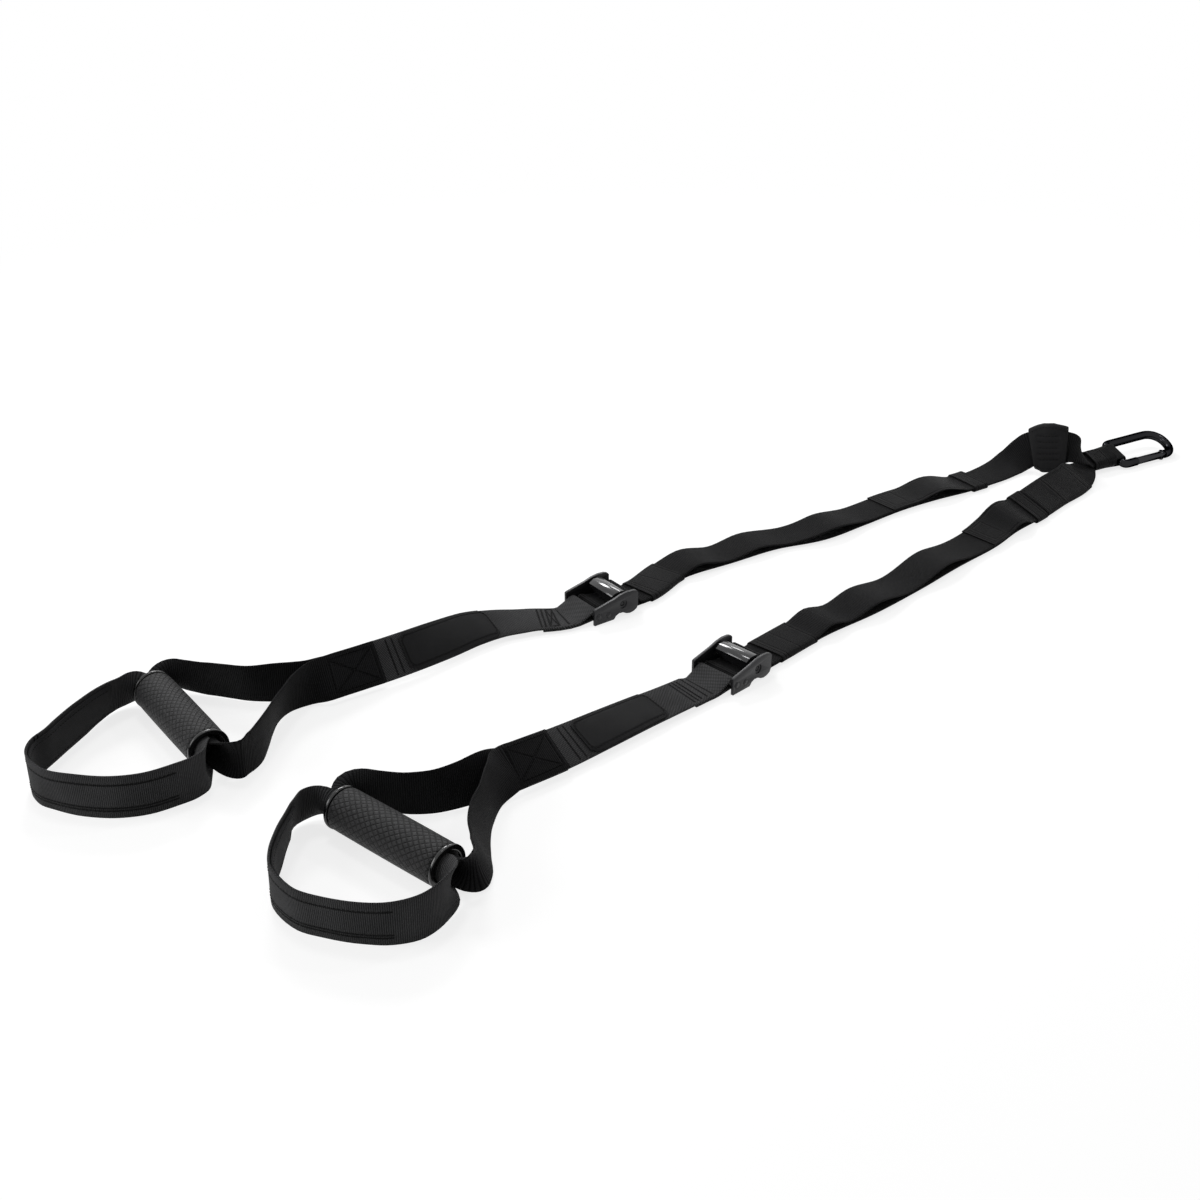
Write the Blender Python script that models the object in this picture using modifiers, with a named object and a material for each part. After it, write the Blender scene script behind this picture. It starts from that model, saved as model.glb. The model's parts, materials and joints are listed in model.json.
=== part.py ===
"""A suspension trainer laid out on a floor: a snap hook, an anchor loop, and two webbing arms.

Each arm has an adjusting strap with a cam buckle, a label strap, a triangle of webbing
with a grip on it, and a foot loop through the same grip.

Units are metres and +Z is up. +X runs between the arms towards the snap hook, so the arms
lie towards -X, the near arm on the -Y side and the far arm on the +Y side. The pieces are
drawn from the point on the floor where the two arms come together. At the end all of them
move together, so that the origin is on the floor under the middle of the whole.
"""
import math

import bmesh
import bpy
import numpy as np
from mathutils import Matrix, Vector

# Webbing and cloth
WEBBING_WIDTH = 0.038
WEBBING_THICKNESS = 0.0018
LAYER_GAP = 0.0003
COVER_THICKNESS = 0.0010
COVER_SIDE_GAP = 0.0006

# Both arms
ARM_REACH = 0.900
NEAR_SWAY = 0.0650
FAR_SWAY = 0.1180
KEEPER_LENGTH = 0.050
TAIL_WAVE_HEIGHT = 0.0070
PULL_LOOP_HEIGHT = 0.0065
LABEL_PATCH_THICKNESS = 0.0010
LABEL_PATCH_MARGIN = 0.0010
FOOT_PAD_THICKNESS = 0.0016
FOOT_PAD_MARGIN = 0.0030

# Anchor loop, its tab, and the wear pad where the far arm stands on its edge
LOOP_WEBBING_WIDTH = 0.024
LOOP_LEG_LENGTH = 0.034
ANCHOR_ROLL_DEG = 19.0
ANCHOR_TURN_DEG = -10.0
ANCHOR_SIDE_STEP = 0.007
ANCHOR_LIFT = 0.0014
ANCHOR_SPREAD = 0.0006
TAB_LENGTH = 0.030
TAB_BAR_DISTANCE = 0.0085
STRAP_END_DISTANCE = 0.021
STRAP_FOLD_LENGTH = 0.036
FOLDED_WIDTH = 0.019
NEAR_SKEW_DEG = 12.0
FAR_SKEW_DEG = 6.0
WEAR_PAD_WIDTH = 0.054
WEAR_PAD_START = 0.0265
WEAR_PAD_LENGTH = 0.038
WEAR_PAD_CORNER_LENGTH = 0.012
WEAR_PAD_THICKNESS = 0.0020

# Snap hook
HOOK_LENGTH = 0.084
HOOK_WIDTH = 0.042
HOOK_BAR_DIAMETER = 0.0075
HOOK_BAR_PLACE = 0.041
GATE_DIAMETER = 0.0082
GATE_BORE_DIAMETER = 0.0044
GATE_BORE_DEPTH = 0.020
GATE_TONGUE_THICKNESS = 0.0030
GATE_PIN_DIAMETER = 0.0024
GATE_NOSE_GAP = 0.0005
GATE_SPRING_WIRE = 0.0006
GATE_SPRING_TURNS = 6
GATE_PLUNGER_LENGTH = 0.005

# Cam buckle
BUCKLE_LENGTH = 0.050
BUCKLE_SIDE_CLEARANCE = 0.0022
BUCKLE_PLATE = 0.0026
BUCKLE_FRONT_HEIGHT = 0.0152
BUCKLE_REAR_HEIGHT = 0.0238
BUCKLE_FLOOR_PLATE = 0.0014
TURN_BAR_DIAMETER = 0.0050
FIXED_BAR_DIAMETER = 0.0055
REAR_BAR_DIAMETER = 0.0050
CAM_PIN_HEIGHT = 0.0128
CAM_PIN_DIAMETER = 0.0045
CAM_PIN_RECESS = 0.0090
CAM_PIN_RECESS_DEPTH = 0.0010
CAM_TOOTH = 0.0005
CAM_TEETH = 7
CAM_SPRING_WIRE = 0.0008
CAM_SPRING_TURNS = 3
LEVER_SIDE_ROOM = 0.0037

# Handles: how far the triangle and the foot loop reach, on each side of the grip
NEAR_TRIANGLE_DEPTH = 0.121
NEAR_LOOP_DEPTH = 0.1010
FAR_TRIANGLE_DEPTH = 0.1253
FAR_LOOP_DEPTH = 0.1265

# Grip
GRIP_LENGTH = 0.114
GRIP_DIAMETER = 0.0342
CORE_DIAMETER = 0.0286
CORE_WALL = 0.0014
CAP_DIAMETER = 0.0352
CAP_THICKNESS = 0.0030

# Running clearance of pins and bars, and how far cutters run past what they cut
FIT = 0.0003
OVERRUN = 0.002

# Facets
ROUND_SIDES = 28
BAR_SIDES = 18
ACROSS_SIDES = 2
CURL_SIDES = 6
SPAN_STEPS = 3
HANDLE_STEPS = 2
STATION = 0.0125

LAYER = WEBBING_THICKNESS + LAYER_GAP
HALF_WEB = WEBBING_WIDTH / 2
HALF_THICK = WEBBING_THICKNESS / 2
FLOOR_GAP = COVER_THICKNESS + 3 * LAYER_GAP
BUCKLE_INSIDE = WEBBING_WIDTH + 2 * BUCKLE_SIDE_CLEARANCE
BUCKLE_OUTSIDE = BUCKLE_INSIDE + 2 * BUCKLE_PLATE
BORE_RADIUS = CORE_DIAMETER / 2 - CORE_WALL
FOOT_CURL_RADIUS = BORE_RADIUS - LAYER_GAP - HALF_THICK
TRIANGLE_CURL_RADIUS = FOOT_CURL_RADIUS - LAYER - LAYER_GAP


class Arm:
    """The route of one arm over the floor, and where its pieces sit along it.

    A route row is a share of ARM_REACH, a share of the arm's sway to its side, and the
    strap's roll in degrees, which lifts the strap's +Y edge when it is negative.
    """

    def __init__(self, name, sway, route_shares, places):
        self.name = name
        self.sway = sway
        self.places = places
        table = np.array(route_shares)
        slopes = np.gradient(table[:, 1:], table[:, 0], axis=0)
        # The strap lies straight and flat under its buckle
        middle = places["buckle"]
        reach = 0.78 * BUCKLE_LENGTH / ARM_REACH
        value, slope = hermite(table, slopes, middle)
        value[1], slope[1] = 0.0, 0.0
        away = np.abs(table[:, 0] - middle) > 1.2 * reach
        ends = [[middle - reach, *(value - reach * slope)], [middle + reach, *(value + reach * slope)]]
        table = np.vstack([table[away], ends])
        slopes = np.vstack([slopes[away], slope, slope])
        order = np.argsort(table[:, 0])
        self.route, self.slopes = table[order], slopes[order]

    def at(self, share, lift=0.0):
        """Centre, across direction, heading and normal of a strap lying at this share."""
        (side_share, roll_deg), (side_slope, _) = hermite(self.route, self.slopes, share)
        roll = math.radians(roll_deg)
        heading = unit(np.array([-ARM_REACH, self.sway * side_slope, 0.0]))
        side = np.cross([0.0, 0.0, 1.0], heading)
        across = math.cos(roll) * side + math.sin(roll) * np.array([0.0, 0.0, 1.0])
        normal = np.cross(heading, across)
        height = abs(math.sin(roll)) * HALF_WEB + math.cos(roll) * HALF_THICK + FLOOR_GAP
        centre = np.array([-share * ARM_REACH, self.sway * side_share, height])
        return centre + lift * normal, across, heading, normal

    def roll_at(self, share):
        return hermite(self.route, self.slopes, share)[0][1]


def hermite(table, slopes, share):
    """Value and slope of a smooth line through a table, at one share."""
    knots = table[:, 0]
    index = int(np.clip(np.searchsorted(knots, share) - 1, 0, len(knots) - 2))
    span = knots[index + 1] - knots[index]
    t = (share - knots[index]) / span
    a, b = table[index, 1:], table[index + 1, 1:]
    m, n = slopes[index] * span, slopes[index + 1] * span
    value = ((2 * t**3 - 3 * t**2 + 1) * a + (t**3 - 2 * t**2 + t) * m
             + (3 * t**2 - 2 * t**3) * b + (t**3 - t**2) * n)
    slope = ((6 * t**2 - 6 * t) * (a - b) + (3 * t**2 - 4 * t + 1) * m
             + (3 * t**2 - 2 * t) * n) / span
    return value, slope


def unit(vector):
    return vector / np.linalg.norm(vector)


def smooth(rows, steps=SPAN_STEPS, closed=False):
    """Rows on a smooth line through the given rows, whose first three columns are a place.

    Places follow a centripetal spline. The other columns never pass their own end values.
    """
    rows = np.array(rows, dtype=float)
    if closed:
        padded = np.vstack([rows[-1], rows, rows[0], rows[1]])
    else:
        padded = np.vstack([2 * rows[0] - rows[1], rows, 2 * rows[-1] - rows[-2]])
    gaps = np.sqrt(np.linalg.norm(np.diff(padded[:, :3], axis=0), axis=1))
    knots = np.concatenate([[0.0], np.cumsum(gaps)])
    slope = np.diff(padded, axis=0) / gaps[:, None]
    before, after = slope[:-1], slope[1:]
    weight = (gaps[:-1] / (gaps[:-1] + gaps[1:]))[:, None]
    tangent = (1 - weight) * before + weight * after
    steady = before[:, 3:] * after[:, 3:] > 0
    total = np.where(steady, before[:, 3:] + after[:, 3:], 1.0)
    tangent[:, 3:] = np.where(steady, 2 * before[:, 3:] * after[:, 3:] / total, 0.0)
    spans = len(rows) if closed else len(rows) - 1
    result = []
    for index in range(1, spans + 1):
        length = knots[index + 1] - knots[index]
        for t in np.arange(steps) / steps:
            result.append((2 * t**3 - 3 * t**2 + 1) * padded[index]
                          + (t**3 - 2 * t**2 + t) * length * tangent[index - 1]
                          + (3 * t**2 - 2 * t**3) * padded[index + 1]
                          + (t**3 - t**2) * length * tangent[index])
    if not closed:
        result.append(rows[-1])
    return np.array(result)


def headings(centre, closed=False):
    """Unit direction of travel at each point of a line."""
    if closed:
        steps = np.roll(centre, -1, axis=0) - np.roll(centre, 1, axis=0)
    else:
        steps = np.gradient(centre, axis=0)
    return steps / np.linalg.norm(steps, axis=1)[:, None]


def standing(rows, steps=SPAN_STEPS, closed=False):
    """A strap line from rows of place, roll in degrees and curl: centre, across and curl."""
    line = smooth(rows, steps, closed)
    centre = line[:, :3]
    forward = headings(centre, closed)
    side = np.cross([0.0, 0.0, 1.0], forward)
    side /= np.linalg.norm(side, axis=1)[:, None]
    rise = np.cross(forward, side)
    roll = np.radians(line[:, 3])[:, None]
    return centre, np.cos(roll) * side + np.sin(roll) * rise, line[:, 4]


def clear_scene():
    for item in list(bpy.data.objects):
        bpy.data.objects.remove(item, do_unlink=True)


def new_collection(name):
    collection = bpy.data.collections.new(name)
    bpy.context.scene.collection.children.link(collection)
    return collection


def finish_material(name, colour, roughness, metallic=0.0):
    material = bpy.data.materials.new(name)
    material.use_nodes = True
    shader = material.node_tree.nodes["Principled BSDF"]
    shader.inputs["Base Color"].default_value = (*colour, 1.0)
    shader.inputs["Roughness"].default_value = roughness
    shader.inputs["Metallic"].default_value = metallic
    return material


def mesh_object(name, build, finish, collection=None):
    """An object from a bmesh that is closed and has its faces pointing out."""
    mesh = bpy.data.meshes.new(name)
    build.to_mesh(mesh)
    build.free()
    item = bpy.data.objects.new(name, mesh)
    (collection or PARTS).objects.link(item)
    if finish:
        mesh.materials.append(finish)
    return item


def ribbon(name, centre, across, finish, width=WEBBING_WIDTH, thickness=WEBBING_THICKNESS,
           curl=None, closed=False, sides=ACROSS_SIDES):
    """A webbing strap: its section turns, and curls towards its back, along the line."""
    forward = headings(centre, closed)
    across = across - np.sum(across * forward, axis=1)[:, None] * forward
    across /= np.linalg.norm(across, axis=1)[:, None]
    normal = np.cross(forward, across)
    curl = np.zeros(len(centre)) if curl is None else curl
    widths = np.broadcast_to(width, len(centre))
    build = bmesh.new()
    rings = []
    for c, w, n, k, full in zip(centre, across, normal, curl, widths):
        lower, upper = [], []
        for step in range(sides + 1):
            v = (step / sides - 0.5) * full
            if abs(k) * full > 1e-3:
                angle = k * v
                place = c + n * (1 - math.cos(angle)) / k + w * math.sin(angle) / k
                face = n * math.cos(angle) - w * math.sin(angle)
            else:
                place, face = c + w * v, n
            lower.append(build.verts.new(place - face * thickness / 2))
            upper.append(build.verts.new(place + face * thickness / 2))
        rings.append(lower + upper[::-1])
    count = len(rings[0])
    pairs = list(zip(rings, rings[1:]))
    if closed:
        pairs.append((rings[-1], rings[0]))
    for one, two in pairs:
        for j in range(count):
            k = (j + 1) % count
            build.faces.new((one[j], one[k], two[k], two[j]))
    if not closed:
        for ring in (rings[0], rings[-1]):
            for j in range(sides):
                build.faces.new((ring[j], ring[j + 1], ring[count - 2 - j], ring[count - 1 - j]))
    bmesh.ops.recalc_face_normals(build, faces=build.faces)
    return mesh_object(name, build, finish)


def sleeve(name, centre, across, inside_height, finish, width=WEBBING_WIDTH,
           wall=COVER_THICKNESS):
    """A cloth sleeve round a strap: an open flattened tube with a wall outside it."""
    forward = headings(centre)
    across = across - np.sum(across * forward, axis=1)[:, None] * forward
    across /= np.linalg.norm(across, axis=1)[:, None]
    normal = np.cross(forward, across)
    half_width = np.broadcast_to(np.asarray(width) / 2 + COVER_SIDE_GAP, len(centre))
    half_height = np.broadcast_to(np.asarray(inside_height) / 2, len(centre))
    build = bmesh.new()
    rings = []
    for c, w, n, a, b in zip(centre, across, normal, half_width, half_height):
        cut = min(COVER_SIDE_GAP, b / 2)
        section = [(a, cut - b), (a, b - cut), (a - cut, b), (cut - a, b),
                   (-a, b - cut), (-a, cut - b), (cut - a, -b), (a - cut, -b)]
        rings.append([build.verts.new(c + w * x + n * y) for x, y in section])
    for one, two in zip(rings, rings[1:]):
        for j in range(len(one)):
            k = (j + 1) % len(one)
            build.faces.new((one[j], one[k], two[k], two[j]))
    item = mesh_object(name, build, finish)
    shell = item.modifiers.new("wall", 'SOLIDIFY')
    shell.thickness = wall
    shell.offset = 1.0
    shell.use_even_offset = True
    return item


def turned(name, profile, place, finish, sides=ROUND_SIDES, ring=False):
    """A turned piece: a profile of radius and height, run down its outer side."""
    mesh = bpy.data.meshes.new(name)
    edges = [(i, i + 1) for i in range(len(profile) - 1)]
    if ring:
        edges.append((len(profile) - 1, 0))
    mesh.from_pydata([(radius, 0.0, height) for radius, height in profile], edges, [])
    item = bpy.data.objects.new(name, mesh)
    PARTS.objects.link(item)
    mesh.materials.append(finish)
    item.matrix_world = place
    screw = item.modifiers.new("turn", 'SCREW')
    screw.axis = 'Z'
    screw.steps = sides
    screw.render_steps = sides
    screw.use_merge_vertices = True
    screw.merge_threshold = 1e-5
    screw.use_normal_calculate = not ring
    screw.use_smooth_shade = True
    return item


def curve_object(name, splines, finish, collection=None, flat=0.0, bevel=0.0, bevel_resolution=2):
    """A wire along one open spline, or a flat outline with holes."""
    curve = bpy.data.curves.new(name, 'CURVE')
    curve.dimensions = '2D' if flat else '3D'
    if flat:
        curve.fill_mode = 'BOTH'
        curve.extrude = flat / 2
    else:
        curve.bevel_depth = bevel
        curve.bevel_resolution = bevel_resolution
        curve.use_fill_caps = True
    for points in splines:
        spline = curve.splines.new('POLY')
        spline.points.add(len(points) - 1)
        for target, point in zip(spline.points, points):
            target.co = (point[0], point[1], point[2] if len(point) > 2 else 0.0, 1.0)
        spline.use_cyclic_u = bool(flat)
    item = bpy.data.objects.new(name, curve)
    (collection or PARTS).objects.link(item)
    if finish:
        curve.materials.append(finish)
    return item


def as_mesh(item):
    """The curve object made a mesh with welded caps, which takes modifiers."""
    bpy.context.view_layer.update()
    graph = bpy.context.evaluated_depsgraph_get()
    mesh = bpy.data.meshes.new_from_object(item.evaluated_get(graph))
    build = bmesh.new()
    build.from_mesh(mesh)
    bmesh.ops.remove_doubles(build, verts=build.verts, dist=1e-6)
    build.to_mesh(mesh)
    build.free()
    name, world, home = item.name, item.matrix_world.copy(), item.users_collection[0]
    bpy.data.objects.remove(item, do_unlink=True)
    solid = bpy.data.objects.new(name, mesh)
    solid.matrix_world = world
    home.objects.link(solid)
    return solid


def box(name, size, place, finish=None, collection=None):
    build = bmesh.new()
    bmesh.ops.create_cube(build, size=1.0, matrix=Matrix.Diagonal((*size, 1.0)))
    item = mesh_object(name, build, finish, collection)
    item.matrix_world = place
    return item


def rod(name, diameter, length, place, finish=None, collection=None, sides=BAR_SIDES):
    build = bmesh.new()
    bmesh.ops.create_cone(build, cap_ends=True, segments=sides, radius1=diameter / 2,
                          radius2=diameter / 2, depth=length)
    item = mesh_object(name, build, finish, collection)
    item.matrix_world = place
    return item


def combine(item, other, operation):
    """Cut or join with a helper, which moves to the cutters' collection."""
    for home in list(other.users_collection):
        home.objects.unlink(other)
    CUTTERS.objects.link(other)
    other.hide_render = True
    other.display_type = 'WIRE'
    boolean = item.modifiers.new(operation.lower(), 'BOOLEAN')
    boolean.operation = operation
    boolean.object = other
    return item


def circle(centre, radius, sides=BAR_SIDES, start_deg=0.0, sweep_deg=360.0):
    """Points of a circle, or of an arc with both of its ends."""
    whole = abs(sweep_deg) >= 360.0
    angles = np.radians(start_deg + np.linspace(0.0, sweep_deg, sides + 1))
    points = [(centre[0] + radius * math.cos(a), centre[1] + radius * math.sin(a)) for a in angles]
    return points[:-1] if whole else points


def place_at(origin, x_axis, z_axis=(0.0, 0.0, 1.0)):
    """A matrix at origin with its X and Z axes along the given directions."""
    x = Vector(x_axis).normalized()
    z = Vector(z_axis)
    y = z.cross(x).normalized()
    z = x.cross(y)
    return Matrix.Translation(Vector(origin)) @ Matrix((x, y, z)).transposed().to_4x4()


def apply(matrix, point):
    return np.array(matrix @ Vector(point))


EDGE_UP = Matrix.Rotation(math.radians(90.0), 4, 'X')
ALONG_X = Matrix.Rotation(math.radians(90.0), 4, 'Y')


# The shares of each arm's route were chosen by eye, from the anchor to the stitched box
NEAR_ARM = Arm("near", NEAR_SWAY, (
    (0.040, -0.02, -27.0), (0.065, -0.115, -29.0), (0.100, -0.16, -26.0), (0.160, -0.28, -21.0), (0.210, -0.33, -13.0),
    (0.260, -0.46, -4.0), (0.320, -0.53, 0.0), (0.400, -0.66, 0.0), (0.480, -0.75, 0.0),
    (0.550, -0.755, 0.0), (0.620, -0.857, 0.0), (0.676, -0.945, 0.0), (0.730, -1.01, -4.0),
    (0.765, -1.03, -7.0), (0.800, -1.05, -12.0), (0.850, -1.10, -21.0), (0.900, -1.15, -31.0),
    (0.956, -1.155, -42.0)),
    {"end": 0.956, "buckle": 0.676, "tail_end": 0.266, "pull_start": 0.230,
     "pull_end": 0.176, "slider_end": 0.152, "band": (0.045, 0.148), "box": 0.054,
     "label": (0.778, 0.872)})
FAR_ARM = Arm("far", FAR_SWAY, (
    (0.118, 0.600, 0.0), (0.160, 0.632, 0.0), (0.200, 0.690, 0.0), (0.260, 0.745, 0.0),
    (0.330, 0.750, 0.0), (0.390, 0.765, 0.0), (0.445, 0.890, 0.0), (0.510, 0.945, 0.0),
    (0.575, 0.995, 0.0), (0.640, 0.905, 0.0), (0.687, 0.885, 0.0), (0.730, 0.930, -3.0),
    (0.770, 1.030, -5.0), (0.800, 1.100, -14.0), (0.830, 1.110, -27.0), (0.870, 1.075, -41.0),
    (0.930, 1.060, -52.0), (1.000, 1.085, -64.0)),
    {"end": 1.000, "buckle": 0.687, "tail_end": 0.280, "pull_start": 0.236,
     "pull_end": 0.158, "slider_end": 0.134, "band": None, "box": 0.056,
     "label": (0.805, 0.915)})

# The tail's lift over the strap under it, as shares of the wave height, between the tail's
# two ends, then where each crest and trough lies
TAIL_WAVE_SHARES = {
    "near": ((0.0, 0.0), (0.160, 0.0), (0.225, 0.85), (0.310, 0.15), (0.405, 1.0), (0.580, 0.05),
             (0.760, 1.0), (0.900, 0.1), (0.960, 0.0), (1.0, 0.0)),
    "far": ((0.0, 0.0), (0.155, 0.0), (0.240, 0.80), (0.350, 0.05), (0.465, 0.6), (0.590, 0.05),
            (0.740, 1.0), (0.880, 0.1), (0.950, 0.0), (1.0, 0.0))}


def lines(arm, shares, lifts):
    """Centre and across arrays of a strap that lies along an arm at the given lifts."""
    places = [arm.at(share, lift) for share, lift in zip(shares, lifts)]
    return np.array([p[0] for p in places]), np.array([p[1] for p in places])


def station(share):
    """The station nearest to a share."""
    return round(share * ARM_REACH / STATION) * STATION / ARM_REACH


def share_steps(start, end, length=STATION):
    """Shares from start to end at stations that every layer of the arm uses."""
    step = length / ARM_REACH
    low, high = min(start, end), max(start, end)
    inner = np.arange(math.ceil(low / step + 0.3), math.floor(high / step - 0.3) + 1) * step
    shares = np.concatenate([[low], inner, [high]])
    return shares if end > start else shares[::-1]


def route_rows(arm, shares, lift, back=False):
    """Rows for standing(), on an arm. Going back to the anchor turns the strap over."""
    rows = []
    for share in shares:
        centre, _, _, _ = arm.at(share, lift)
        roll = arm.roll_at(share)
        rows.append((*centre, -180.0 - roll if back else roll, 0.0))
    return rows


def buckle_place(arm):
    """The buckle's own frame: X towards the anchor, on the floor under its middle."""
    centre, _, heading, _ = arm.at(arm.places["buckle"])
    return place_at((centre[0], centre[1], 0.0), -heading)


def in_buckle(arm, points):
    """Centre and across arrays for a strap line of x and height in the buckle's frame."""
    frame = buckle_place(arm)
    centre = np.array([apply(frame, (x, 0.0, z)) for x, z in points])
    across = np.tile(np.array(frame.to_3x3() @ Vector((0.0, -1.0, 0.0))), (len(points), 1))
    return centre, across


# Where the bars stand in a buckle, as shares of its length from its middle
FIXED_BAR_SHARE = -0.40
TURN_BAR_SHARE = -0.18
CAM_PIN_SHARE = 0.146
REAR_BAR_SHARE = 0.40

FIXED_BAR_X = FIXED_BAR_SHARE * BUCKLE_LENGTH
TURN_BAR_X = TURN_BAR_SHARE * BUCKLE_LENGTH
CAM_PIN_X = CAM_PIN_SHARE * BUCKLE_LENGTH
REAR_BAR_X = REAR_BAR_SHARE * BUCKLE_LENGTH
TURN_RADIUS = TURN_BAR_DIAMETER / 2 + FIT + HALF_THICK
TURN_BAR_Z = FLOOR_GAP + HALF_THICK + TURN_RADIUS
FIXED_RADIUS = FIXED_BAR_DIAMETER / 2 + FIT + HALF_THICK
FIXED_BAR_Z = BUCKLE_FRONT_HEIGHT / 2 + HALF_THICK / 2
REAR_RADIUS = REAR_BAR_DIAMETER / 2 + FIT + HALF_THICK
REAR_BAR_Z = CAM_PIN_HEIGHT - HALF_THICK
FLOOR_PLATE_Z = FLOOR_GAP + WEBBING_THICKNESS + LAYER_GAP + BUCKLE_FLOOR_PLATE / 2
CLAMP_Z = FLOOR_PLATE_Z + BUCKLE_FLOOR_PLATE / 2 + LAYER_GAP + HALF_THICK
CAM_RADIUS = CAM_PIN_HEIGHT - CLAMP_Z - HALF_THICK - LAYER_GAP - CAM_TOOTH


def strap_turn(arm):
    """The strap inside the buckle: round the turn bar, under the cam, over the rear bar."""
    arc = circle((TURN_BAR_X, TURN_BAR_Z), TURN_RADIUS, 8, -90.0, -180.0)
    top = TURN_BAR_Z + TURN_RADIUS
    gap = REAR_BAR_X - REAR_RADIUS
    ease = (REAR_BAR_X - CAM_PIN_X) / 2
    over = [(*arc[-1], 0.0),
            (TURN_BAR_X / 2, (top + CLAMP_Z) / 2, 0.0),
            (CAM_PIN_X - ease / 2, CLAMP_Z, 0.0),
            (CAM_PIN_X + ease / 3, CLAMP_Z, 0.0),
            (gap - HALF_THICK, (CLAMP_Z + REAR_BAR_Z) / 2, 0.0)]
    over = [point[:2] for point in smooth(over, 2)]
    rear = circle((REAR_BAR_X, REAR_BAR_Z), REAR_RADIUS, 6, 180.0, -90.0)
    return arc[:-1] + over + rear + [(REAR_BAR_X + LAYER, rear[-1][1])]


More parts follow.
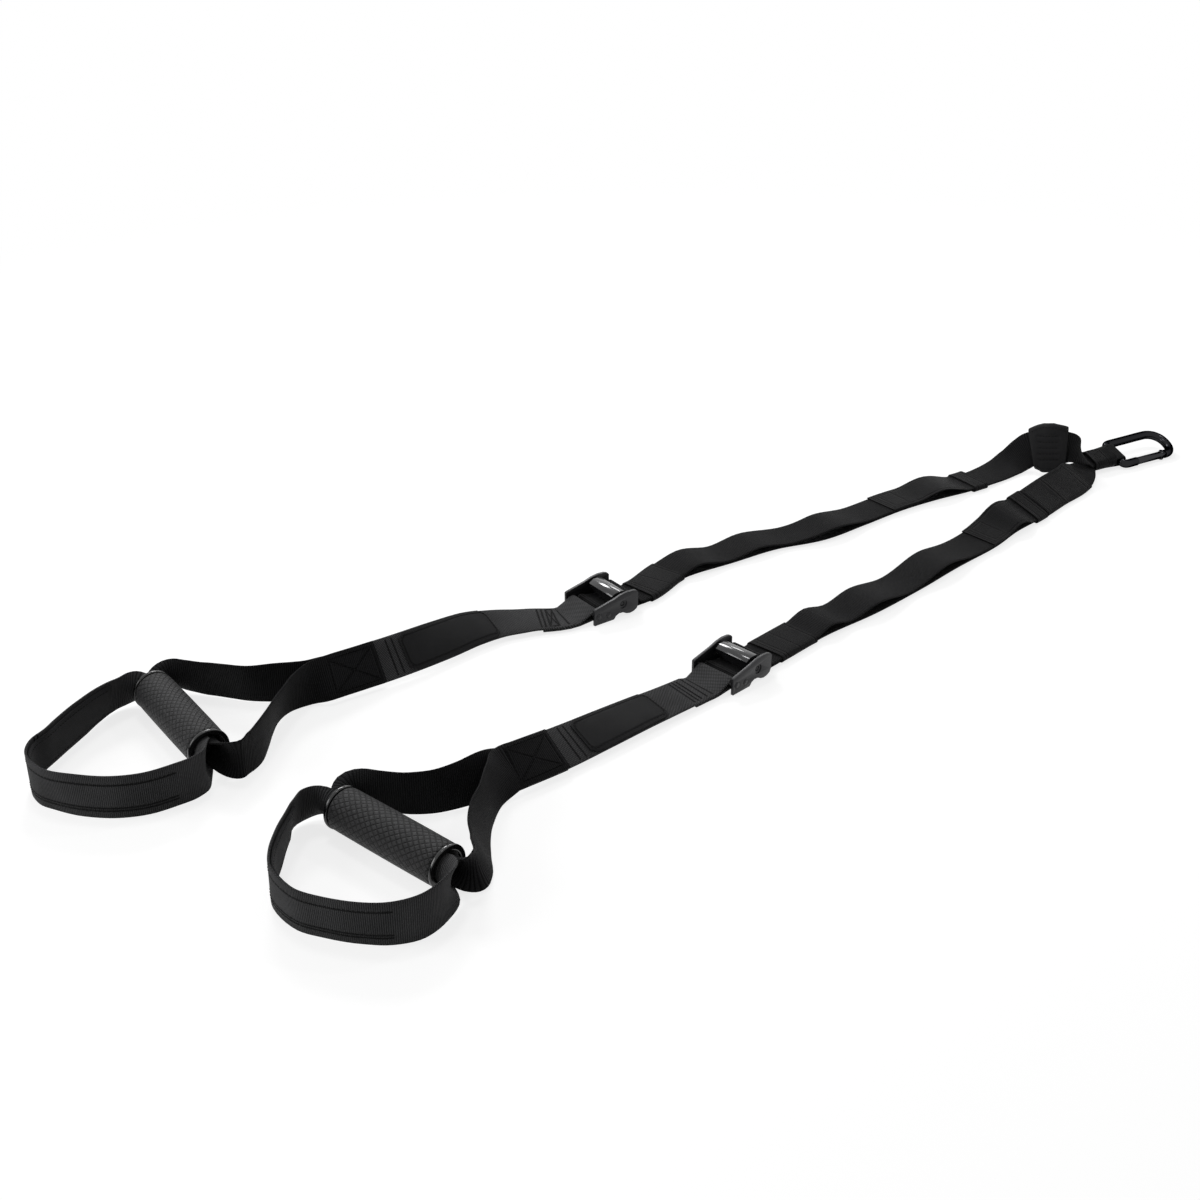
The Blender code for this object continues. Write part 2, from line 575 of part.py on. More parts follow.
def build_straps(arm):
    """The adjusting strap, its tail with the pull loop, and the covers on them."""
    places = arm.places
    frame = buckle_place(arm)
    rear = places["buckle"] - BUCKLE_LENGTH / 2 / ARM_REACH

    # The strap runs from the anchor under the buckle, and its turn ends over the rear bar
    if arm is NEAR_ARM:
        head = standing(anchor_rows(-(LAYER + ANCHOR_SPREAD) / 2, NEAR_SKEW_DEG) + near_turn_rows(arm))
        start = NEAR_START
    else:
        start = arm.route[1, 0]
        head = standing(anchor_rows((LAYER + ANCHOR_SPREAD) / 2, FAR_SKEW_DEG) + far_turn_rows(arm))
    shares = share_steps(start, rear)[1:]
    run = lines(arm, shares, np.zeros(len(shares)))
    turn = in_buckle(arm, strap_turn(arm))
    centre = np.vstack([head[0], run[0], turn[0]])
    ribbon(f"{arm.name}_main_strap", centre, np.vstack([head[1], run[1], turn[1]]), WEBBING,
           width=folded_width(centre))

    # The tail starts where the turn ended, drops to the keeper, and waves to its end
    keeper_end = station(rear - KEEPER_LENGTH * 0.40 / ARM_REACH)
    keeper_start = keeper_end - KEEPER_LENGTH / ARM_REACH
    drop_start = REAR_BAR_X + LAYER + LAYER_GAP
    top = REAR_BAR_Z + REAR_RADIUS
    flat = FLOOR_GAP + HALF_THICK + LAYER
    reach = 0.72 * BUCKLE_LENGTH - drop_start
    fall = [(drop_start + along * reach, 0.0, 0.0, flat + high * (top - flat))
            for along, high in ((0.0, 1.0), (0.2, 0.9), (0.5, 0.45), (0.8, 0.08), (1.0, 0.0))]
    drop = in_buckle(arm, [(point[0], point[3]) for point in smooth(fall, 2)])
    wave = np.array(TAIL_WAVE_SHARES[arm.name])
    slopes = np.gradient(wave[:, 1:], wave[:, 0], axis=0)
    drop_end = places["buckle"] - 0.77 * BUCKLE_LENGTH / ARM_REACH
    shares = share_steps(drop_end, places["pull_start"], STATION / 2)
    span = keeper_end - places["tail_end"]
    lifts = []
    for share in shares:
        along = min(1.0, max(0.0, (keeper_end - share) / span))
        lifts.append(LAYER + max(0.0, hermite(wave, slopes, along)[0][0]) * TAIL_WAVE_HEIGHT)
    tail = lines(arm, shares, lifts)
    ribbon(f"{arm.name}_tail_strap", np.vstack([drop[0], tail[0]]),
           np.vstack([drop[1], tail[1]]), WEBBING)

    shares = share_steps(keeper_end, keeper_start)
    middle = lines(arm, shares, np.full(len(shares), LAYER / 2))
    room = 2 * WEBBING_THICKNESS + 5 * LAYER_GAP
    sleeve(f"{arm.name}_keeper", *middle, room, COVER)

    # The tail's end is covered, and its cover runs on as the pull loop to the slider
    cover = (COVER_THICKNESS + WEBBING_THICKNESS) / 2 + LAYER_GAP
    shares = share_steps(places["tail_end"], places["slider_end"], STATION / 2)
    arch_start, arch_end = places["pull_start"], places["pull_end"]
    lifts = []
    for share in shares:
        along = (arch_start - share) / (arch_start - arch_end)
        arch = math.sin(math.pi * min(1.0, max(0.0, along))) ** 1.5 * PULL_LOOP_HEIGHT
        lifts.append(cover + (LAYER if share > arch_start else LAYER * max(0.0, 1.0 - along)) + arch)
    line = lines(arm, shares, lifts)
    ribbon(f"{arm.name}_pull_loop", *line, COVER, thickness=COVER_THICKNESS,
           width=WEBBING_WIDTH + 2 * COVER_SIDE_GAP)
    shares = share_steps(places["pull_end"] - 0.3 * STATION / ARM_REACH, places["slider_end"])
    room = WEBBING_THICKNESS + COVER_THICKNESS + 5 * LAYER_GAP
    middle = lines(arm, shares, np.full(len(shares), (room - WEBBING_THICKNESS) / 2 - 1.5 * LAYER_GAP))
    sleeve(f"{arm.name}_tail_slider", *middle, room, COVER, width=WEBBING_WIDTH + 3 * COVER_SIDE_GAP)
    if places["band"]:
        shares = share_steps(*places["band"])
        middle = lines(arm, shares, np.zeros(len(shares)))
        sleeve(f"{arm.name}_top_band", *middle, WEBBING_THICKNESS + 2 * LAYER_GAP, COVER)

    # The label strap is sewn round the fixed bar and runs on to the stitched box
    front = places["buckle"] + BUCKLE_LENGTH / 2 / ARM_REACH
    sewn = front + KEEPER_LENGTH * 0.75 / ARM_REACH
    eased = front + KEEPER_LENGTH * 0.25 / ARM_REACH
    shares = share_steps(sewn, eased)
    under = lines(arm, shares, np.zeros(len(shares)))
    arc = circle((FIXED_BAR_X, FIXED_BAR_Z), FIXED_RADIUS, 12, -86.0, 204.0)
    loop = in_buckle(arm, arc)
    shares = share_steps(eased, places["end"])[:-1]
    over = lines(arm, shares, np.full(len(shares), LAYER))
    ribbon(f"{arm.name}_label_strap", np.vstack([under[0], loop[0], over[0]]),
           np.vstack([under[1], loop[1], over[1]]), WEBBING, sides=4)
    shares = share_steps(station(places["label"][0]), station(places["label"][1]))
    lift = LAYER + HALF_THICK + 2 * LAYER_GAP + LABEL_PATCH_THICKNESS / 2
    patch = lines(arm, shares, np.full(len(shares), lift))
    ribbon(f"{arm.name}_label_patch", *patch, PATCH, thickness=LABEL_PATCH_THICKNESS,
           width=WEBBING_WIDTH - 2 * LABEL_PATCH_MARGIN, sides=3)
    return frame


def anchor_place():
    """The snap hook's frame: its origin in the bar that the anchor loop holds."""
    roll = math.radians(ANCHOR_ROLL_DEG)
    reach = HOOK_WIDTH / 2 - HOOK_BAR_DIAMETER / 2
    height = HOOK_BAR_DIAMETER / 2 + reach * math.sin(roll) + ANCHOR_LIFT
    return (Matrix.Translation((HOOK_BAR_PLACE, ANCHOR_SIDE_STEP, height))
            @ Matrix.Rotation(math.radians(ANCHOR_TURN_DEG), 4, 'Z')
            @ Matrix.Rotation(roll, 4, 'X'))


def anchor_rows(lift, skew_deg):
    """Rows for standing(), where an arm's end is sewn askew between the anchor loop's legs."""
    frame = anchor_place()
    skew = math.tan(math.radians(skew_deg))
    rows = []
    for along in (0.0, 0.35, 0.7, 1.0):
        x = (along - 0.5) * TAB_LENGTH * 0.70
        place = (-STRAP_END_DISTANCE - TAB_LENGTH * 0.35 - x, -x * skew, lift)
        rows.append((*apply(frame, place), -ANCHOR_ROLL_DEG, 0.0))
    return rows


def folded_width(centre):
    """The strap's width at each row: its edges are folded in where the anchor loop holds it."""
    from_bar = HOOK_BAR_PLACE - centre[:, 0]
    start = TAB_BAR_DISTANCE + TAB_LENGTH
    return np.interp(from_bar, [start, start + STRAP_FOLD_LENGTH],
                     [FOLDED_WIDTH, WEBBING_WIDTH])


# How the near arm comes away from the anchor: shares of ARM_REACH, sway and pad width, and
# roll, up to where its own route takes over
NEAR_TURN_SHARES = ((0.010, -0.140, 0.160, -18.0), (0.022, -0.065, 0.166, -18.0))
NEAR_START = 0.042


def near_turn_rows(arm):
    rows = []
    for along, aside, height, roll in NEAR_TURN_SHARES:
        rows.append((-along * ARM_REACH, -aside * arm.sway, height * WEAR_PAD_WIDTH, roll, 0.0))
    return rows + route_rows(arm, (NEAR_START,), 0.0)


# Where the far arm stands up on its edge: shares of ARM_REACH, sway and pad width, and roll
FAR_TURN_SHARES = (
    (0.0080, 0.112, 0.340, -27.0), (0.0160, 0.126, 0.462, -44.0), (0.0245, 0.165, 0.572, -65.0),
    (0.0325, 0.226, 0.590, -77.0), (0.0385, 0.287, 0.568, -77.0), (0.0430, 0.350, 0.538, -75.0),
    (0.0465, 0.425, 0.500, -73.0), (0.0498, 0.495, 0.430, -67.0), (0.0550, 0.550, 0.300, -46.0),
    (0.0645, 0.590, 0.160, -20.0), (0.0800, 0.602, 0.082, -7.0), (0.1000, 0.602, 0.055, -3.0))


def far_turn_rows(arm):
    rows = []
    for along, aside, height, roll in FAR_TURN_SHARES:
        rows.append((-along * ARM_REACH, aside * arm.sway, height * WEAR_PAD_WIDTH, roll, 0.0))
    return rows + route_rows(arm, (arm.route[0, 0] + 0.010, arm.route[1, 0]), 0.0)


def build_anchor():
    """The anchor loop round the hook's bar, its tab, and the far arm's wear pad."""
    frame = anchor_place()
    radius = HOOK_BAR_DIAMETER / 2 + FIT + HALF_THICK
    stack = 1.5 * LAYER + ANCHOR_SPREAD
    bight = circle((0.0, 0.0), radius, 12, -90.0, 180.0)
    lower = [(-LOOP_LEG_LENGTH, -stack), (-LOOP_LEG_LENGTH * 0.8, -stack),
             (-STRAP_END_DISTANCE, -stack), (-STRAP_END_DISTANCE / 2, -(stack + radius) / 2)]
    points = lower + bight + [(x, -z) for x, z in lower[::-1]]
    centre = np.array([apply(frame, (x, 0.0, z)) for x, z in points])
    across = np.tile(np.array(frame.to_3x3() @ Vector((0.0, -1.0, 0.0))), (len(points), 1))
    ribbon("anchor_loop", centre, across, WEBBING, width=LOOP_WEBBING_WIDTH)

    xs = np.linspace(-TAB_BAR_DISTANCE - TAB_LENGTH, -TAB_BAR_DISTANCE, 5)
    spread = np.interp(xs, [-STRAP_END_DISTANCE, -STRAP_END_DISTANCE / 2, 0.0],
                       [stack, (stack + radius) / 2, radius])
    centre = np.array([apply(frame, (x, 0.0, 0.0)) for x in xs])
    across = np.tile(across[0], (len(xs), 1))
    sleeve("anchor_tab", centre, across, 2 * (spread + HALF_THICK + LAYER_GAP), COVER,
           width=LOOP_WEBBING_WIDTH)

    line = standing(anchor_rows((LAYER + ANCHOR_SPREAD) / 2, FAR_SKEW_DEG) + far_turn_rows(FAR_ARM))
    steps = np.linalg.norm(np.diff(line[0], axis=0), axis=1)
    along = np.concatenate([[0.0], np.cumsum(steps)])
    start = along[np.argmax(line[0][:, 0] <= -WEAR_PAD_START)]
    inside = (along >= start) & (along <= start + WEAR_PAD_LENGTH)
    to_end = np.minimum(along - start, start + WEAR_PAD_LENGTH - along)[inside]
    full = WEAR_PAD_WIDTH - 2 * (COVER_SIDE_GAP + WEAR_PAD_THICKNESS)
    width = np.interp(to_end, [0.0, WEAR_PAD_CORNER_LENGTH],
                      [WEBBING_WIDTH + 4 * COVER_SIDE_GAP, full])
    sleeve("wear_pad", line[0][inside], line[1][inside], WEBBING_THICKNESS + 7 * LAYER_GAP, PAD,
           width=width, wall=WEAR_PAD_THICKNESS)


# The hook's bar, as shares of its length and half width, from the gate's pivot round to the nose
HOOK_SHARES = (
    (0.790, -1.00), (0.820, -1.00), (0.895, -0.93), (0.965, -0.65), (1.000, -0.10), (0.985, 0.40),
    (0.920, 0.78), (0.820, 0.97), (0.700, 1.00), (0.450, 0.99), (0.200, 0.98), (0.070, 0.97),
    (0.033, 0.935), (0.009, 0.835), (0.000, 0.71), (0.000, 0.00), (0.000, -0.71),
    (0.009, -0.855), (0.033, -0.960), (0.070, -1.00), (0.200, -1.00), (0.240, -1.00))


def build_hook():
    """The snap hook: a bent bar, a sprung gate that opens inwards, and its pivot pin."""
    frame = anchor_place()
    length = HOOK_LENGTH - HOOK_BAR_DIAMETER
    half = (HOOK_WIDTH - HOOK_BAR_DIAMETER) / 2
    points = [(x * length, y * half, 0.0) for x, y in HOOK_SHARES]
    bar = smooth(points, 2)
    item = curve_object("hook_body", [bar], HOOK_PAINT, bevel=HOOK_BAR_DIAMETER / 2,
                        bevel_resolution=3)
    item.matrix_world = frame
    body = as_mesh(item)
    pivot_end, nose = Vector(bar[0]), Vector(bar[-1])
    direction = (nose - pivot_end).normalized()
    reach = GATE_DIAMETER / 2
    pivot = pivot_end + direction * (FIT + reach)
    gate_length = (nose - pivot_end).length - FIT - GATE_NOSE_GAP
    straight = gate_length - reach
    turn = frame @ place_at(pivot + direction * straight / 2, direction) @ ALONG_X
    gate = rod("hook_gate", GATE_DIAMETER, straight, turn, GATE_METAL, sides=ROUND_SIDES)
    pin_place = frame @ Matrix.Translation(pivot)
    eye = rod("gate_eye", GATE_DIAMETER, GATE_DIAMETER - FIT, pin_place, sides=ROUND_SIDES)
    combine(gate, eye, 'UNION')

    # A round-ended tongue stands in a slot of the gate, and the pin goes through both
    slot_length = 2 * reach + FIT
    tongue_length = slot_length - FIT
    tongue = box("tongue", (reach + FIT + OVERRUN, GATE_DIAMETER * 0.8, GATE_TONGUE_THICKNESS),
                 frame @ place_at(pivot_end + direction * (reach + FIT - OVERRUN) / 2, direction))
    combine(body, tongue, 'UNION')
    end = rod("tongue_end", 2 * (reach - FIT), GATE_TONGUE_THICKNESS, pin_place,
              sides=ROUND_SIDES)
    combine(body, end, 'UNION')
    hole = rod("pin_hole", GATE_PIN_DIAMETER + 2 * FIT, GATE_DIAMETER + 2 * OVERRUN, pin_place)
    slot_size = (2 * slot_length, GATE_DIAMETER + OVERRUN, GATE_TONGUE_THICKNESS + 2 * FIT)
    slot = box("gate_slot", slot_size, frame @ place_at(pivot_end, direction))
    bore_start = slot_length
    bore = rod("gate_bore", GATE_BORE_DIAMETER, GATE_BORE_DEPTH + OVERRUN,
               frame @ place_at(pivot_end + direction
                                * (bore_start + (GATE_BORE_DEPTH - OVERRUN) / 2), direction) @ ALONG_X)
    combine(gate, slot, 'DIFFERENCE')
    combine(gate, bore, 'DIFFERENCE')
    combine(gate, hole, 'DIFFERENCE')
    tongue_hole = rod("tongue_hole", GATE_PIN_DIAMETER + 2 * FIT, GATE_DIAMETER, pin_place)
    combine(body, tongue_hole, 'DIFFERENCE')
    rod("gate_pin", GATE_PIN_DIAMETER, GATE_DIAMETER * 0.9, pin_place, STEEL)

    # The plunger pushes on the tongue, and the spring behind it fills the rest of the bore
    plunger_start = tongue_length + FIT
    middle = pivot_end + direction * (plunger_start + GATE_PLUNGER_LENGTH / 2)
    rod("gate_plunger", GATE_BORE_DIAMETER - 2 * FIT, GATE_PLUNGER_LENGTH,
        frame @ place_at(middle, direction) @ ALONG_X, STEEL)
    spring_start = plunger_start + GATE_PLUNGER_LENGTH + FIT + GATE_SPRING_WIRE / 2
    spring_end = bore_start + GATE_BORE_DEPTH - FIT - GATE_SPRING_WIRE / 2
    coil_radius = GATE_BORE_DIAMETER / 2 - FIT - GATE_SPRING_WIRE / 2
    coil = helix(coil_radius, spring_end - spring_start, GATE_SPRING_TURNS)
    spring = curve_object("gate_spring", [coil], STEEL, bevel=GATE_SPRING_WIRE / 2,
                          bevel_resolution=1)
    spring.matrix_world = (frame @ place_at(pivot_end + direction * spring_start, direction)
                           @ ALONG_X)


def helix(radius, height, turns, per_turn=7):
    angles = np.linspace(0.0, 2 * math.pi * turns, turns * per_turn + 1)
    return [(radius * math.cos(a), radius * math.sin(a), height * a / angles[-1]) for a in angles]


# The side plate's outline, as shares of the buckle's length and rear height
PLATE_SHARES = (
    (-0.500, 0.000), (-0.500, 0.640), (-0.470, 0.680), (-0.060, 0.860), (0.100, 0.960),
    (0.260, 1.000), (0.400, 0.975), (0.470, 0.920), (0.500, 0.840), (0.500, 0.300),
    (0.470, 0.150), (0.400, 0.070), (0.310, 0.040), (0.230, 0.080), (0.150, 0.170),
    (0.060, 0.190), (-0.010, 0.130), (-0.060, 0.000))

# The lever's outline over the cam, as shares of the buckle's length and rear height
LEVER_SHARES = ((-0.015, 0.800), (-0.022, 0.845), (0.072, 0.970), (0.235, 0.962), (0.262, 0.925),
                (0.262, 0.760), (0.215, 0.640))


def build_buckle(arm, frame):
    """The cam buckle: a frame of two side plates, its bars, and the sprung cam lever."""
    name = arm.name
    outline = [(x * BUCKLE_LENGTH, z * BUCKLE_REAR_HEIGHT) for x, z in PLATE_SHARES]
    holes = [circle((FIXED_BAR_X, FIXED_BAR_Z), FIXED_BAR_DIAMETER / 2 + FIT),
             circle((TURN_BAR_X, TURN_BAR_Z), TURN_BAR_DIAMETER / 2 + FIT),
             circle((CAM_PIN_X, CAM_PIN_HEIGHT), CAM_PIN_DIAMETER / 2 + FIT)]
    plates = []
    for side in (-1, 1):
        item = curve_object(f"plate_{side}", [outline] + holes, FRAME_PAINT, flat=BUCKLE_PLATE)
        offset = side * (BUCKLE_INSIDE + BUCKLE_PLATE) / 2
        item.matrix_world = frame @ Matrix.Translation((0.0, offset, 0.0)) @ EDGE_UP
        plates.append(as_mesh(item))
    body = plates[0]
    body.name = f"{name}_buckle_frame"
    combine(body, plates[1], 'UNION')
    span = BUCKLE_INSIDE + BUCKLE_PLATE
    plate_start = TURN_BAR_X + TURN_RADIUS + HALF_THICK
    plate_end = REAR_BAR_X - REAR_RADIUS - WEBBING_THICKNESS
    floor_plate = box("floor_plate", (plate_end - plate_start, span, BUCKLE_FLOOR_PLATE),
                      frame @ Matrix.Translation(((plate_start + plate_end) / 2, 0.0,
                                                  FLOOR_PLATE_Z)))
    combine(body, floor_plate, 'UNION')
    rear_bar = rod("rear_bar", REAR_BAR_DIAMETER, span,
                   frame @ Matrix.Translation((REAR_BAR_X, 0.0, REAR_BAR_Z)) @ EDGE_UP)
    combine(body, rear_bar, 'UNION')
    recess = circle_rods(frame, CAM_PIN_RECESS, CAM_PIN_RECESS_DEPTH)
    for cutter in recess:
        combine(body, cutter, 'DIFFERENCE')

    full = BUCKLE_OUTSIDE + 2 * FIT
    for bar, diameter, x, z in (("fixed_bar", FIXED_BAR_DIAMETER, FIXED_BAR_X, FIXED_BAR_Z),
                                ("turn_bar", TURN_BAR_DIAMETER, TURN_BAR_X, TURN_BAR_Z)):
        rod(f"{name}_{bar}", diameter, full,
            frame @ Matrix.Translation((x, 0.0, z)) @ EDGE_UP, STEEL)
    rod(f"{name}_cam_pin", CAM_PIN_DIAMETER, BUCKLE_OUTSIDE - 2 * CAM_PIN_RECESS_DEPTH,
        frame @ Matrix.Translation((CAM_PIN_X, 0.0, CAM_PIN_HEIGHT)) @ EDGE_UP, STEEL)

    # The cam's toothed underside turns with the lever's plate above it
    lever = [(x * BUCKLE_LENGTH - CAM_PIN_X, z * BUCKLE_REAR_HEIGHT - CAM_PIN_HEIGHT)
             for x, z in LEVER_SHARES]
    cam = []
    for step in range(2 * CAM_TEETH + 1):
        angle = math.radians(-10.0 - 150.0 * step / (2 * CAM_TEETH))
        radius = CAM_RADIUS + (CAM_TOOTH if step % 2 else 0.0)
        cam.append((radius * math.cos(angle), radius * math.sin(angle)))
    lever_width = BUCKLE_INSIDE - 2 * LEVER_SIDE_ROOM
    hole = circle((0.0, 0.0), CAM_PIN_DIAMETER / 2 + FIT)
    item = curve_object(f"{name}_cam_lever", [lever + cam, hole], LEVER_PAINT, flat=lever_width)
    item.matrix_world = (frame @ Matrix.Translation((CAM_PIN_X, 0.0, CAM_PIN_HEIGHT)) @ EDGE_UP)

    coil_radius = CAM_PIN_DIAMETER / 2 + 2 * FIT + CAM_SPRING_WIRE / 2
    pitch = CAM_SPRING_WIRE + FIT
    coil = helix(coil_radius, pitch * (CAM_SPRING_TURNS - 1), CAM_SPRING_TURNS - 1, 10)
    spring = curve_object(f"{name}_cam_spring", [coil], STEEL, bevel=CAM_SPRING_WIRE / 2,
                          bevel_resolution=1)
    start = lever_width / 2 + FIT + CAM_SPRING_WIRE / 2
    spring.matrix_world = (frame @ Matrix.Translation((CAM_PIN_X, -start, CAM_PIN_HEIGHT))
                           @ EDGE_UP)


def circle_rods(frame, diameter, depth):
    """Cutters for the round recess over each end of the cam pin."""
    cutters = []
    for side in (-1, 1):
        middle = side * (BUCKLE_OUTSIDE / 2 - depth + (depth + OVERRUN) / 2)
        cutters.append(rod(f"recess_{side}", diameter, depth + OVERRUN,
                           frame @ Matrix.Translation((CAM_PIN_X, middle, CAM_PIN_HEIGHT))
                           @ EDGE_UP))
    return cutters


class Handle:
    """A grip's place on the floor, with its triangle and foot loop drawn round it.

    Places are shares of half the grip's length along it, towards its outer end, then of the
    triangle's or foot loop's depth, towards the foot. The third number is a lean in degrees.
    """

    def __init__(self, turn_deg, triangle_depth, along_at_end, loop_depth, rear_leg_shares,
                 front_leg_shares, loop_shares):
        self.turn = math.radians(turn_deg)
        self.triangle_depth = triangle_depth
        self.along_at_end = along_at_end
        self.loop_depth = loop_depth
        self.rear_leg = rear_leg_shares
        self.front_leg = front_leg_shares
        self.loop = loop_shares
        self.out = np.array([math.cos(self.turn), math.sin(self.turn), 0.0])
        self.foot = np.array([math.sin(self.turn), -math.cos(self.turn), 0.0])

    def centre(self, arm):
        end, _, _, _ = arm.at(arm.places["end"])
        end = np.array([end[0], end[1], HALF_WEB + LAYER_GAP])
        return (end - self.along_at_end * GRIP_LENGTH / 2 * self.out
                + self.triangle_depth * self.foot)

    def rows(self, arm, shares, depth, upright, curls):
        """Rows for standing() at the given places, leaning off upright."""
        found = []
        for (along, foot, lean), curl in zip(shares, curls):
            place = (self.centre(arm) + along * GRIP_LENGTH / 2 * self.out
                     + foot * depth * self.foot)
            found.append((*place, upright + lean, curl))
        return found

    def bore_rows(self, arm, side, radius, upright):
        """Rows through the grip from its inner to its outer end, curled in its bore."""
        end = 1.0 + 2 * LAYER_GAP / GRIP_LENGTH
        shares = [(along, side, 0.0) for along in (-end, -0.9, 0.9, end)]
        return self.rows(arm, shares, radius, upright, [-1.0 / radius] * 4)


# Each handle's places were chosen by eye, from the arm to the grip and round the foot loop
NEAR_HANDLE = Handle(
    -80.2, NEAR_TRIANGLE_DEPTH, -0.030, NEAR_LOOP_DEPTH,
    ((-0.090, -0.830, 9.0), (-0.180, -0.657, 8.0), (-0.323, -0.493, 4.0), (-0.540, -0.375, 0.0),
     (-0.850, -0.258, -4.0), (-1.100, -0.145, 0.0)),
    ((1.165, -0.085, 0.0), (1.225, -0.120, -14.0), (1.140, -0.205, -22.0), (0.860, -0.322, -24.0),
     (0.610, -0.453, -20.0), (0.400, -0.605, -8.0), (0.170, -0.785, 2.0)),
    ((1.220, 0.120, 0.0), (1.400, 0.272, 0.0), (1.445, 0.480, 0.0), (1.270, 0.675, -3.0),
     (0.960, 0.820, -5.0), (0.560, 0.935, -5.0), (0.180, 1.000, -3.0), (-0.340, 0.950, 0.0),
     (-0.630, 0.830, 2.0), (-0.880, 0.660, 3.0), (-1.120, 0.478, 9.0), (-1.270, 0.352, 12.0),
     (-1.370, 0.215, 17.0), (-1.240, 0.120, 20.0)))
FAR_HANDLE = Handle(
    -93.8, FAR_TRIANGLE_DEPTH, 0.198, FAR_LOOP_DEPTH,
    ((0.100, -0.880, -4.0), (-0.130, -0.700, -4.0), (-0.330, -0.550, -9.0), (-0.580, -0.445, -11.0),
     (-0.800, -0.355, -13.0), (-1.000, -0.240, -15.0), (-1.100, -0.130, -12.0)),
    ((1.200, -0.083, 0.0), (1.410, -0.120, 6.0), (1.380, -0.190, 3.0), (1.230, -0.290, 0.0),
     (0.955, -0.408, 5.0), (0.705, -0.505, 10.0), (0.470, -0.610, 14.0), (0.295, -0.720, 12.0),
     (0.205, -0.870, 4.0)),
    ((1.200, 0.095, 0.0), (1.400, 0.110, 0.0), (1.510, 0.190, 0.0), (1.530, 0.320, 0.0),
     (1.500, 0.500, 0.0), (1.330, 0.675, 0.0), (1.045, 0.825, 0.0), (0.690, 0.950, -4.0),
     (0.420, 0.998, 0.0), (0.100, 0.995, 0.0), (-0.170, 0.930, 3.0), (-0.355, 0.812, 6.0),
     (-0.485, 0.735, 5.0), (-0.665, 0.624, 5.0), (-0.865, 0.488, 7.0), (-1.010, 0.387, 11.0),
     (-1.140, 0.265, 17.0), (-1.160, 0.190, 20.0), (-1.100, 0.125, 18.0)))
HANDLES = {"near": NEAR_HANDLE, "far": FAR_HANDLE}


